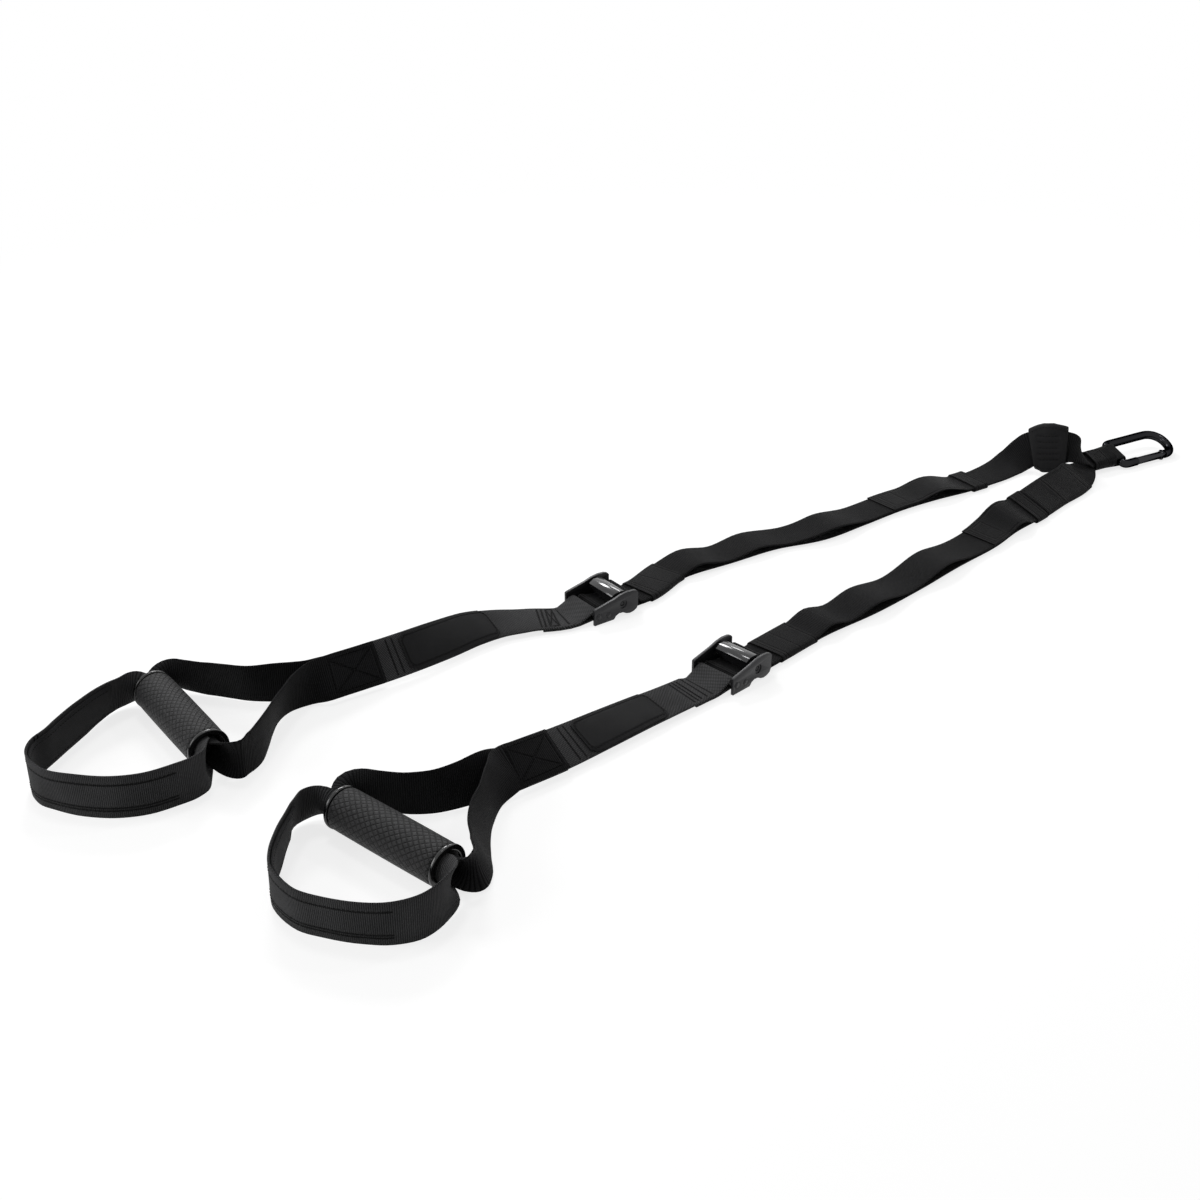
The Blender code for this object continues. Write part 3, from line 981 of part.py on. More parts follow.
def build_handle(arm):
    """The triangle strap, the foot loop with its pad, and the grip with its two caps."""
    handle = HANDLES[arm.name]
    name = arm.name
    end = arm.places["end"]
    shares = share_steps(station(end - arm.places["box"]), end)
    lower = lines(arm, shares, np.zeros(len(shares)))
    upper = lines(arm, shares[::-1], np.full(len(shares), 2 * LAYER))
    end_roll = arm.roll_at(end)

    # The strap leaves the arm's end, goes through the grip and comes back over itself
    legs = []
    for leg, turned_to, curled in ((handle.rear_leg, end_roll, (-2, -1)),
                                   (handle.front_leg, -180.0 - end_roll, (1, 0))):
        eased = [list(row) for row in leg]
        curls = [0.0] * len(leg)
        curls[curled[0]] = -0.2 / TRIANGLE_CURL_RADIUS
        curls[curled[1]] = -0.7 / TRIANGLE_CURL_RADIUS
        first, second = (0, 1) if turned_to == end_roll else (-1, -2)
        eased[first][2] += 0.40 * (turned_to + 90.0)
        eased[second][2] += 0.10 * (turned_to + 90.0)
        legs.append(handle.rows(arm, eased, handle.triangle_depth, -90.0, curls))
    rows = (route_rows(arm, shares[-2:], 0.0) + legs[0]
            + handle.bore_rows(arm, -1, TRIANGLE_CURL_RADIUS, -90.0) + legs[1]
            + route_rows(arm, shares[:-3:-1], 2 * LAYER, back=True))
    centre, across, curl = standing(rows, HANDLE_STEPS)
    flat = np.zeros(len(shares) - 2)
    ribbon(f"{name}_triangle_strap", np.vstack([lower[0][:-2], centre, upper[0][2:]]),
           np.vstack([lower[1][:-2], across, upper[1][2:]]), WEBBING,
           curl=np.concatenate([flat, curl, flat]), sides=CURL_SIDES)

    # The foot loop leaves the bore at both ends on the other side, as one closed band
    count = len(handle.loop)
    full = -1.0 / FOOT_CURL_RADIUS
    curls = [0.5 * full, 0.1 * full] + [0.0] * (count - 4) + [0.1 * full, 0.5 * full]
    loop = handle.rows(arm, handle.loop, handle.loop_depth, 90.0, curls)
    rows = handle.bore_rows(arm, 1, FOOT_CURL_RADIUS, 90.0) + loop
    centre, across, curl = standing(rows, HANDLE_STEPS, closed=True)
    ribbon(f"{name}_foot_loop", centre, across, WEBBING, curl=curl, closed=True,
           sides=CURL_SIDES)
    skip = 3 * HANDLE_STEPS
    inside = slice(4 * HANDLE_STEPS + skip, len(centre) - skip)
    normal = np.cross(headings(centre, True), across)
    shift = HALF_THICK + 2 * LAYER_GAP + FOOT_PAD_THICKNESS / 2
    ribbon(f"{name}_foot_pad", (centre + shift * normal)[inside], across[inside], PATCH,
           width=WEBBING_WIDTH - 2 * FOOT_PAD_MARGIN, thickness=FOOT_PAD_THICKNESS, sides=3)

    # The grip turns on the webbing: a core tube, a rubber sleeve, and a cap at each end
    axis = place_at(handle.centre(arm), handle.out) @ ALONG_X
    core = CORE_DIAMETER / 2
    half = GRIP_LENGTH / 2 - CAP_THICKNESS - FIT
    turned(f"{name}_grip_core", tube(BORE_RADIUS, core, half), axis, CORE_PLASTIC, ring=True)
    turned(f"{name}_grip_sleeve", tube(core + FIT, GRIP_DIAMETER / 2, half), axis, RUBBER,
           ring=True)
    edge = CAP_THICKNESS / 4
    outer = CAP_DIAMETER / 2
    profile = [(BORE_RADIUS, 0.0), (BORE_RADIUS, CAP_THICKNESS), (outer - edge, CAP_THICKNESS),
               (outer, CAP_THICKNESS - edge), (outer, edge), (outer - edge, 0.0)]
    for end_name, turn in (("outer", 0.0), ("inner", 180.0)):
        flip = Matrix.Rotation(math.radians(turn), 4, 'X')
        seat = Matrix.Translation((0.0, 0.0, GRIP_LENGTH / 2 - CAP_THICKNESS))
        turned(f"{name}_grip_cap_{end_name}", profile, axis @ flip @ seat, CAP_PLASTIC, ring=True)


def tube(inner, outer, half):
    """The profile of a tube with chamfered outer rims, run down its outer side."""
    rim = (outer - inner) / 4
    return [(inner, half), (outer - rim, half), (outer, half - rim), (outer, rim - half),
            (outer - rim, -half), (inner, -half)]


def centre_on_floor():
    """Moves all the pieces so that the origin is under the middle of their box."""
    bpy.context.view_layer.update()
    graph = bpy.context.evaluated_depsgraph_get()
    places = []
    for item in PARTS.objects:
        shape = item.evaluated_get(graph)
        for vertex in shape.to_mesh().vertices:
            places.append(item.matrix_world @ vertex.co)
        shape.to_mesh_clear()
    places = np.array(places)
    middle = (places.min(axis=0) + places.max(axis=0)) / 2
    shift = Vector((-middle[0], -middle[1], -places.min(axis=0)[2]))
    for item in (*PARTS.objects, *CUTTERS.objects):
        item.matrix_world = Matrix.Translation(shift) @ item.matrix_world
    return shift


clear_scene()
PARTS = new_collection("suspension_trainer")
CUTTERS = new_collection("cutters")
WEBBING = finish_material("black_webbing", (0.020, 0.020, 0.022), 0.85)
COVER = finish_material("black_cover_cloth", (0.016, 0.016, 0.017), 0.70)
PATCH = finish_material("black_patch_cloth", (0.014, 0.014, 0.015), 0.60)
PAD = finish_material("black_quilted_pad", (0.018, 0.017, 0.018), 0.80)
FRAME_PAINT = finish_material("black_painted_steel", (0.045, 0.045, 0.047), 0.45)
LEVER_PAINT = finish_material("black_gloss_lever", (0.030, 0.030, 0.032), 0.25)
HOOK_PAINT = finish_material("black_hook_enamel", (0.035, 0.035, 0.037), 0.30)
GATE_METAL = finish_material("dark_gate_metal", (0.090, 0.090, 0.092), 0.35, 0.8)
STEEL = finish_material("plain_steel", (0.40, 0.40, 0.41), 0.35, 1.0)
CORE_PLASTIC = finish_material("black_core_plastic", (0.020, 0.020, 0.020), 0.50)
CAP_PLASTIC = finish_material("gloss_cap_plastic", (0.015, 0.015, 0.016), 0.20)
RUBBER = finish_material("charcoal_rubber", (0.030, 0.030, 0.032), 0.75)

build_anchor()
build_hook()
for each_arm in (NEAR_ARM, FAR_ARM):
    buckle_frame = build_straps(each_arm)
    build_buckle(each_arm, buckle_frame)
    build_handle(each_arm)
SHIFT = centre_on_floor()
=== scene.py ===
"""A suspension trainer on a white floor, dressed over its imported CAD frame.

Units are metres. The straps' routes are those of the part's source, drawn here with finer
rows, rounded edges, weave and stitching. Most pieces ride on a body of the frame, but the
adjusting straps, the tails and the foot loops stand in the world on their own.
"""
import json
import math

import bmesh
import bpy
import numpy as np
from mathutils import Matrix, Vector

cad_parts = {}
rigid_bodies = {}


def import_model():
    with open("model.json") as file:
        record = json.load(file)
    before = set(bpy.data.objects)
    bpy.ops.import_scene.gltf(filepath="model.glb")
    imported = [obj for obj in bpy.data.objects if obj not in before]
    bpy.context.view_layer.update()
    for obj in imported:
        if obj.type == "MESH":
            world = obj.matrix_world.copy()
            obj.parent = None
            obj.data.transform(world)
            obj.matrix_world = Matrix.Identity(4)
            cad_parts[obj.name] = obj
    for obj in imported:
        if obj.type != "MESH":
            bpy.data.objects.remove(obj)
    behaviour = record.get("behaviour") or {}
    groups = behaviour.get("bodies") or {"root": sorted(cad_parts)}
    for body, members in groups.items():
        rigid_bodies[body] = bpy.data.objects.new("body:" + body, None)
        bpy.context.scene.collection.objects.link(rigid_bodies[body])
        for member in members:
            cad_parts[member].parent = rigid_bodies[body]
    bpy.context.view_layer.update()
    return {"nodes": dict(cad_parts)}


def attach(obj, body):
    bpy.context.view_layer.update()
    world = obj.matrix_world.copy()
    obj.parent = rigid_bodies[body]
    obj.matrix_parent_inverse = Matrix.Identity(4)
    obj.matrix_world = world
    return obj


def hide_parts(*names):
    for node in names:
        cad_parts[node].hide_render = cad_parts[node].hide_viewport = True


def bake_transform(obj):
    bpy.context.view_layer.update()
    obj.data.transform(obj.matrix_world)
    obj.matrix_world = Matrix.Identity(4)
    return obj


for item in list(bpy.data.objects):
    bpy.data.objects.remove(item, do_unlink=True)
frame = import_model()
nodes = frame["nodes"]

# The anchor loop: black polyester webbing, 24 mm wide, folded round the hook's bar. Both its
# legs run back towards the straps, whose ends are sewn askew between them.
WEBBING_WIDTH = 0.038
WEBBING_THICKNESS = 0.0018
LAYER_GAP = 0.0003
LAYER = WEBBING_THICKNESS + LAYER_GAP
HALF_THICK = WEBBING_THICKNESS / 2
LOOP_WEBBING_WIDTH = 0.024
LOOP_LEG_LENGTH = 0.034
LOOP_SEAM_PLACE = 0.0095
STRAP_END_DISTANCE = 0.021
HOOK_WIDTH = 0.042
HOOK_BAR_DIAMETER = 0.0075
HOOK_BAR_PLACE = 0.041
ENAMEL_SWELL = 0.0010
ANCHOR_ROLL_DEG = 19.0
ANCHOR_TURN_DEG = -10.0
ANCHOR_SIDE_STEP = 0.007
ANCHOR_LIFT = 0.0014
ANCHOR_SPREAD = 0.0006
# The routes start at the anchor, and this takes them to the frame's own middle
SHIFT = np.array([0.516222, -0.018010, 0.0])


def anchor_place():
    """The snap hook's frame: its origin in the bar that the anchor loop holds."""
    roll = math.radians(ANCHOR_ROLL_DEG)
    reach = HOOK_WIDTH / 2 - HOOK_BAR_DIAMETER / 2
    height = HOOK_BAR_DIAMETER / 2 + reach * math.sin(roll) + ANCHOR_LIFT
    return (Matrix.Translation((HOOK_BAR_PLACE, ANCHOR_SIDE_STEP, height))
            @ Matrix.Rotation(math.radians(ANCHOR_TURN_DEG), 4, 'Z')
            @ Matrix.Rotation(roll, 4, 'X'))


ANCHOR = anchor_place()
ANCHOR_ACROSS = np.array(ANCHOR.to_3x3() @ Vector((0.0, -1.0, 0.0)))


def apply(matrix, point):
    return np.array(matrix @ Vector(point))


def circle(centre, radius, sides, start_deg=0.0, sweep_deg=360.0):
    angles = np.radians(start_deg + np.linspace(0.0, sweep_deg, sides + 1))
    return [(centre[0] + radius * math.cos(a), centre[1] + radius * math.sin(a)) for a in angles]


def travelled(points):
    """The length of the way from a line's first point to each of its points."""
    steps = np.linalg.norm(np.diff(points, axis=0), axis=1)
    return np.concatenate([[0.0], np.cumsum(steps)])


def headings(centre, closed=False):
    """Unit direction of travel at each point of a line."""
    if closed:
        steps = np.roll(centre, -1, axis=0) - np.roll(centre, 1, axis=0)
    else:
        steps = np.gradient(centre, axis=0)
    return steps / np.linalg.norm(steps, axis=1)[:, None]


class Strap:
    """A band's middle line: centre, width direction, face normal, curl and width at each row."""

    def __init__(self, centre, across, curl=None, width=WEBBING_WIDTH, closed=False):
        forward = headings(centre, closed)
        across = across - np.sum(across * forward, axis=1)[:, None] * forward
        self.centre = centre + SHIFT
        self.across = across / np.linalg.norm(across, axis=1)[:, None]
        self.normal = np.cross(forward, self.across)
        self.curl = np.zeros(len(centre)) if curl is None else curl
        self.width = np.array(np.broadcast_to(width, len(centre)), dtype=float)
        self.closed = closed
        self.along = travelled(centre)

    def row(self, index, v, lift):
        """The place on row index, v across from the middle and lift off the middle face."""
        k = self.curl[index]
        c, w, n = self.centre[index], self.across[index], self.normal[index]
        if abs(k) * WEBBING_WIDTH > 1e-3:
            angle = k * v
            place = c + n * (1 - math.cos(angle)) / k + w * math.sin(angle) / k
            return place + (n * math.cos(angle) - w * math.sin(angle)) * lift
        return c + w * v + n * lift

    def place(self, s, v, lift):
        """The place s along the band, between rows."""
        index = int(np.clip(np.searchsorted(self.along, s) - 1, 0, len(self.along) - 2))
        t = (s - self.along[index]) / (self.along[index + 1] - self.along[index])
        return (1 - t) * self.row(index, v, lift) + t * self.row(index + 1, v, lift)

    def near(self, point):
        """The length along the band where it passes nearest to a place in the frame."""
        return self.along[np.argmin(np.linalg.norm(self.centre - np.array(point), axis=1))]


def anchor_strap(points):
    """A strap along points of x and height in the anchor's frame."""
    centre = np.array([apply(ANCHOR, (x, 0.0, z)) for x, z in points])
    across = np.tile(ANCHOR_ACROSS, (len(points), 1))
    return Strap(centre, across, width=LOOP_WEBBING_WIDTH)


def new_mesh(name, build, finish, angle_deg=50.0):
    """An object from a bmesh, shaded smooth but for its sharp edges."""
    mesh = bpy.data.meshes.new(name)
    bmesh.ops.recalc_face_normals(build, faces=build.faces)
    build.to_mesh(mesh)
    build.free()
    mesh.shade_smooth()
    mesh.set_sharp_from_angle(angle=math.radians(angle_deg))
    mesh.materials.append(finish)
    item = bpy.data.objects.new(name, mesh)
    bpy.context.scene.collection.objects.link(item)
    return item


def skin(name, rings, along, around, finish, closed=False, capped=True, angle_deg=50.0):
    """A closed tube of rings. Its UV map holds real lengths: around the ring, then along."""
    build = bmesh.new()
    uv = build.loops.layers.uv.new("lengths")
    verts = [[build.verts.new(p) for p in ring] for ring in rings]
    count = len(rings[0])
    pairs = [(i, i + 1) for i in range(len(rings) - 1)]
    if closed:
        pairs.append((len(rings) - 1, 0))
    along = list(along)
    around = list(around)
    last = along[-1] + (np.linalg.norm(rings[-1][0] - rings[0][0]) if closed else 0.0)
    for i, j in pairs:
        for k in range(count):
            m = (k + 1) % count
            face = build.faces.new((verts[i][k], verts[i][m], verts[j][m], verts[j][k]))
            end = last if j == 0 else along[j]
            edge = around[m] if m else around[-1] + (around[1] - around[0])
            for loop, place in zip(face.loops, ((around[k], along[i]), (edge, along[i]),
                                                (edge, end), (around[k], end))):
                loop[uv].uv = place
    if capped and not closed:
        for ring in (verts[0], verts[-1]):
            build.faces.new(ring)
    return new_mesh(name, build, finish, angle_deg)


BAND_SIDES = 8
BAND_EDGE_ANGLES = np.radians((-45.0, 0.0, 45.0))
PUFF_ROWS = 3


def band(name, strap, finish, thickness=WEBBING_THICKNESS, margin=0.0, puff=0.0):
    """A strap with rounded edges. Margin narrows it, and puff raises its upper face."""
    edge = thickness / 2
    face_sides = np.linspace(-1.0, 1.0, BAND_SIDES + 1)
    section = [(side, -1, 0.0) for side in face_sides]
    section += [(1, math.sin(a), edge * math.cos(a)) for a in BAND_EDGE_ANGLES]
    section += [(side, 1, 0.0) for side in face_sides[::-1]]
    section += [(-1, math.sin(a), -edge * math.cos(a)) for a in BAND_EDGE_ANGLES[::-1]]
    count = len(strap.centre)
    rings = []
    for i in range(count):
        half = strap.width[i] / 2 - margin - edge
        from_end = PUFF_ROWS if strap.closed else min(i, count - 1 - i)
        rise = puff * min(1.0, from_end / PUFF_ROWS)
        ring = []
        for side, face, out in section:
            crown = rise * (1 - abs(side) ** 2.5) if face > 0.9 else 0.0
            ring.append(strap.row(i, side * half + out, face * thickness / 2 + crown))
        rings.append(ring)
    half = float(np.median(strap.width)) / 2 - margin
    around = [side * half + out for side, _, out in section]
    return skin(name, rings, strap.along, around, finish, strap.closed)


def linear(code):
    """The linear colour of an sRGB hex code."""
    values = [int(code[i:i + 2], 16) / 255 for i in (1, 3, 5)]
    return (*[v / 12.92 if v <= 0.04045 else ((v + 0.055) / 1.055) ** 2.4 for v in values], 1.0)


def feed(tree, item, inputs):
    """Set a node's inputs, by place or by name, to values or to links from other nodes."""
    for key, value in inputs.items():
        socket = item.inputs[key if isinstance(key, int) else key.replace("_", " ")]
        if isinstance(value, bpy.types.NodeSocket):
            tree.links.new(value, socket)
        elif value is not None:
            socket.default_value = value


def add_node(tree, kind, *inputs, out=0, **settings):
    """Add a node with its settings and links, and give one of its outputs.

    The operation of a Math node follows its kind. Inputs go by place, or by a name with a
    capital, and settings have names in small letters.
    """
    kind, _, operation = kind.partition(" ")
    item = tree.nodes.new("ShaderNode" + kind)
    if operation:
        item.operation = operation
    for key in [key for key in settings if key[0].islower()]:
        setattr(item, key, settings.pop(key))
    feed(tree, item, {**dict(enumerate(inputs)), **settings})
    return item.outputs[out]


class Finish:
    """A material and its nodes, whose patterns are read from a piece's UV map or its place.

    A map holds real lengths, and a noise's scale is how many of its grains lie in a metre.
    """

    def __init__(self, name, colour, roughness, **inputs):
        self.material = bpy.data.materials.new(name)
        self.material.use_nodes = True
        self.tree = self.material.node_tree
        self.shader = self.tree.nodes["Principled BSDF"]
        self.colour = linear(colour)
        self.set(Base_Color=self.colour, Roughness=roughness, **inputs)
        self.place = self.node("TexCoord", out="Object")

    def set(self, **inputs):
        feed(self.tree, self.shader, inputs)

    def node(self, kind, *inputs, **settings):
        return add_node(self.tree, kind, *inputs, **settings)

    def hump(self, value):
        """1 in the middle of each unit step, and 0 between steps."""
        part = self.node("Math FRACT", value)
        rest = self.node("Math SUBTRACT", 1.0, part)
        return self.node("Math MULTIPLY", self.node("Math MULTIPLY", part, rest), 4.0)

    def shade(self, factor, low, high):
        """The base colour times low to high, as factor goes from 0 to 1."""
        ends = [(*[c * share for c in self.colour[:3]], 1.0) for share in (low, high)]
        unused = [None] * 5
        self.set(Base_Color=self.node("Mix", factor, *unused, *ends, data_type='RGBA', out=2))


# Where thread is sewn, it draws the cloth down over about a millimetre on each side
SEAM_EDGE = 0.0002
SEAM_WIDTH = 0.0013


def seam_marks(cloth, across, along, paths):
    """1 on the sewn lines and 0 away from them. Paths are lists of places: along, then across."""
    here = cloth.node("CombineXYZ", along, across, 0.0)
    nearest = None
    for path in paths:
        for start, end in zip(path, path[1:]):
            way = Vector(end) - Vector(start)
            length = way.length
            if length < 1e-5:
                continue
            way = (*(way / length), 0.0)
            offset = cloth.node("VectorMath SUBTRACT", here, (*start, 0.0))
            reach = cloth.node("VectorMath DOT_PRODUCT", offset, way, out="Value")
            reach = cloth.node("Clamp", reach, 0.0, length)
            foot = cloth.node("VectorMath SCALE", way, Scale=reach)
            away = cloth.node("VectorMath DISTANCE", offset, foot, out="Value")
            nearest = away if nearest is None else cloth.node("Math MINIMUM", nearest, away)
    return cloth.node("MapRange", nearest, SEAM_EDGE, SEAM_WIDTH, 1.0, 0.0)


def woven(name, colour, rib, yarn, depth, roughness=0.58, slant=0.0, low=0.12, high=1.85,
          sheen=0.05, seams=()):
    """Cloth whose weft ribs lie across the strap, rib apart, with warp yarns over them.

    Fine fibres keep it dull. Its colour carries painted shade in the rib hollows, a painted
    highlight on the crests, and lighter and darker patches at random. Along its seams the thread
    draws it in, so it is lower there, and painted shade darkens it.
    """
    cloth = Finish(name, colour, roughness, Sheen_Weight=sheen, Sheen_Roughness=0.5,
                   Specular_IOR_Level=0.02)
    lengths = cloth.node("UVMap", uv_map="lengths")
    across = cloth.node("SeparateXYZ", lengths, out="X")
    along = cloth.node("SeparateXYZ", lengths, out="Y")
    lean = cloth.node("Math MULTIPLY_ADD", across, slant / rib,
                      cloth.node("Math DIVIDE", along, rib))
    step = cloth.node("Math MULTIPLY", cloth.node("Math FLOOR", lean), 0.5)
    ribs = cloth.hump(lean)
    yarns = cloth.hump(cloth.node("Math MULTIPLY_ADD", across, 1.0 / yarn, step))
    over = cloth.node("Math MULTIPLY_ADD", yarns, 0.5, 0.5)
    weave = cloth.node("Math MULTIPLY", ribs, over)
    patches = cloth.node("TexNoise", cloth.place, Scale=28.0)
    worn = cloth.node("Math MULTIPLY_ADD", patches, 0.5, -0.25)
    # painted shade in the rib hollows, a painted highlight on the crests, and random patches
    painted_rib_shade_and_wear = cloth.node("Math ADD", cloth.node("Math MULTIPLY", weave, 0.75), worn)
    if seams:
        marks = seam_marks(cloth, across, along, seams)
        plain = cloth.node("Math SUBTRACT", 1.0, marks)
        # painted shade darkens the cloth along the seams
        painted_rib_shade_and_wear = cloth.node("Math MULTIPLY", painted_rib_shade_and_wear, plain)
        weave = cloth.node("Math MULTIPLY_ADD", plain, 1.5, weave)
    cloth.set(Normal=cloth.node("Bump", Height=weave, Distance=depth, Strength=1.0))
    cloth.shade(painted_rib_shade_and_wear, low, high)
    return cloth.material


def cloth_for(piece, kind, seams=()):
    """One of the cloths as the material of one piece, with the seams that are given for it."""
    return woven(f"{piece}_{kind['name']}", seams=seams,
                 **{key: value for key, value in kind.items() if key != "name"})


# Black polyester webbing, woven flat and tight: dull, with a painted highlight as a grey line
# on each weft rib. The ribs are drawn 1.7 mm apart, because the real ones are too fine to show
# from the camera.
POLYESTER = dict(name="black_polyester_webbing", colour="#222223", rib=0.0017, yarn=0.0013,
                 depth=0.0006)
WEBBING = woven(**POLYESTER)


def thread():
    """Bonded nylon sewing thread: black, with a faint waxy light on the top of each stitch."""
    finish = Finish("black_sewing_thread", "#0f0f10", 0.60, Specular_IOR_Level=0.10)
    strands = finish.node("TexNoise", finish.place, Scale=2500.0)
    finish.set(Normal=finish.node("Bump", Height=strands, Distance=0.0001, Strength=1.0))
    return finish.material


THREAD = thread()
THREAD_RADIUS = 0.00034
THREAD_ANGLES = np.radians((0.0, 60.0, 120.0, 180.0, 270.0))
THREAD_SINK_SHARE = 0.9
STITCH_PITCH = 0.0034
STITCH_END_SHARES = (0.10, 0.90)
# How thick the thread stands along a stitch, which goes down into the cloth at both ends
STITCH_SHARES = ((0.0, 0.35), (0.2, 1.0), (0.8, 1.0), (1.0, 0.35))


def unit(vector):
    return vector / np.linalg.norm(vector)


def stitching(name, strap, paths, lift, body, pitch=STITCH_PITCH):
    """Rows of thread on a strap's face. A path is a list of places: along, then across."""
    build = bmesh.new()
    outward = lift + math.copysign(THREAD_RADIUS, lift)
    sides = len(THREAD_ANGLES)
    for path in paths:
        path = np.array(path, dtype=float)
        marks = travelled(path)
        count = max(1, round(marks[-1] / pitch))
        for step in range(count):
            ends = []
            for share in STITCH_END_SHARES:
                s = marks[-1] * (step + share) / count
                place = [np.interp(s, marks, path[:, column]) for column in (0, 1)]
                ends.append((strap.place(*place, lift), strap.place(*place, outward)))
            (start, up), (end, _) = ends
            ahead = end - start
            if np.linalg.norm(ahead) < THREAD_RADIUS:
                continue
            rise = unit(up - start)
            side = unit(np.cross(ahead, rise))
            rings = []
            for share, size in STITCH_SHARES:
                sink = rise * THREAD_RADIUS * (size - 1.0) * THREAD_SINK_SHARE
                middle = start + ahead * share + sink
                rings.append([build.verts.new(middle + THREAD_RADIUS * size
                                              * (side * math.cos(a) + rise * math.sin(a)))
                              for a in THREAD_ANGLES])
            for one, two in zip(rings, rings[1:]):
                for k in range(sides):
                    m = (k + 1) % sides
                    build.faces.new((one[k], one[m], two[m], two[k]))
            build.faces.new(rings[0])
            build.faces.new(rings[-1])
    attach(new_mesh(name, build, THREAD), body)


def rows_along(start, end, offsets, count=12):
    return [[(s, v) for s in np.linspace(start, end, count)] for v in offsets]


stack = 1.5 * LAYER + ANCHOR_SPREAD
radius = HOOK_BAR_DIAMETER / 2 + ENAMEL_SWELL + LAYER_GAP + HALF_THICK
lower = [(-LOOP_LEG_LENGTH, -stack), (-LOOP_LEG_LENGTH * 0.8, -stack),
         (-STRAP_END_DISTANCE, -stack), (-STRAP_END_DISTANCE / 2, -(stack + radius) / 2)]
round_bar = circle((0.0, 0.0), radius, 20, -90.0, 180.0)
loop = anchor_strap(lower + round_bar + [(x, -z) for x, z in lower[::-1]])
item = band("anchor_webbing_loop", loop, WEBBING)
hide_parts("anchor_loop")
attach(item, "anchor")
edges = rows_along(loop.along[3], loop.along[-4], (-LOOP_SEAM_PLACE, LOOP_SEAM_PLACE), 40)
stitching("anchor_loop_stitching", loop, edges, HALF_THICK, "anchor")

# The anchor tab: smooth nylon cloth, wrapped as a sleeve round the loop's legs and the straps'
# ends between them, and sewn through them all in a crossed box with two rows below it.
COVER_THICKNESS = 0.0010
COVER_SIDE_GAP = 0.0006
SLEEVE_CURVE_SIDES = 6
HEM_WIDTH = 0.0018
HEM_HEIGHT = 0.0008
HEM_SHARES = (0.03, 0.97)
RIPPLES_ACROSS, RIPPLES_ASKEW, RIPPLES_ALONG = 9, 23, 31
TAB_LENGTH = 0.030
TAB_BAR_DISTANCE = 0.0085
TAB_SEAMS = (0.003, 0.018, 0.0205, 0.0225)
TAB_BOX_END = TAB_LENGTH * 0.6
TAB_ROWS = (TAB_LENGTH * 0.68, TAB_LENGTH * 0.75)


def stadium(a, b, sides):
    """A flattened ring's section: straight faces between round ends."""
    points = []
    for step in range(sides):
        points.append(((1 - 2 * step / sides) * (a - b), b))
    for angle in np.radians(np.linspace(90.0, 270.0, SLEEVE_CURVE_SIDES + 1)):
        points.append((b - a + b * math.cos(angle), b * math.sin(angle)))
    for step in range(1, sides):
        points.append(((2 * step / sides - 1) * (a - b), -b))
    for angle in np.radians(np.linspace(-90.0, 90.0, SLEEVE_CURVE_SIDES + 1))[:-1]:
        points.append((a - b + b * math.cos(angle), b * math.sin(angle)))
    return points


def sleeve(name, strap, height, finish, width=WEBBING_WIDTH, wall=COVER_THICKNESS,
           ridges=(), ridge=HEM_HEIGHT, ripple=0.0, relief=None, sides=6):
    """A sewn cloth sleeve round a strap. Ridges are shares along it where a hem stands proud.

    A relief gives the height of the faces from a share along and a place across.
    """
    total = strap.along[-1]
    count = len(strap.centre)
    heights, widths = np.broadcast_to(height, count), np.broadcast_to(width, count)
    outer, inner = [], []
    for i in range(count):
        share = strap.along[i] / total
        hem = sum(math.exp(-((share - r) * total / HEM_WIDTH) ** 2) for r in ridges)
        wave = math.sin(RIPPLES_ALONG * share)
        a, b = widths[i] / 2 + COVER_SIDE_GAP, heights[i] / 2
        c, w, n = strap.centre[i], strap.across[i], strap.normal[i]
        ring = []
        for x, y in stadium(a + wall, b + wall, sides):
            flat = 1 - (x / (a + wall)) ** 4
            rise = hem * ridge * flat + (relief(share, x) * flat if relief else 0.0)
            lift = math.copysign(rise, y) if abs(y) > b else 0.0
            if y > 0:
                skew = math.sin(RIPPLES_ACROSS * x / a + RIPPLES_ASKEW * share)
                lift += ripple * flat * skew * wave
            ring.append(c + w * x + n * (y + lift))
        outer.append(ring)
        inner.append([c + w * x + n * y for x, y in stadium(a, b, sides)])
    rings = inner[::-1] + outer
    along = [total - s for s in strap.along[::-1]] + list(strap.along + total)
    return skin(name, rings + [rings[0]], along + [along[-1] + wall], travelled(outer[0]), finish,
                capped=False, angle_deg=60.0)


def sleeve_seams(places, length):
    """Seams right round a sleeve, at lengths from its start, for its outer face's map."""
    return [[(length + s, -1.0), (length + s, 1.0)] for s in places]


def box_path(start, end, half, crossed=True):
    """A sewn rectangle, with a cross in it."""
    paths = [[(start, -half), (end, -half), (end, half), (start, half), (start, -half)]]
    if crossed:
        paths += [[(start, -half), (end, half)], [(start, half), (end, -half)]]
    return paths


def rows_across(places, half):
    return [[(s, -half), (s, half)] for s in places]


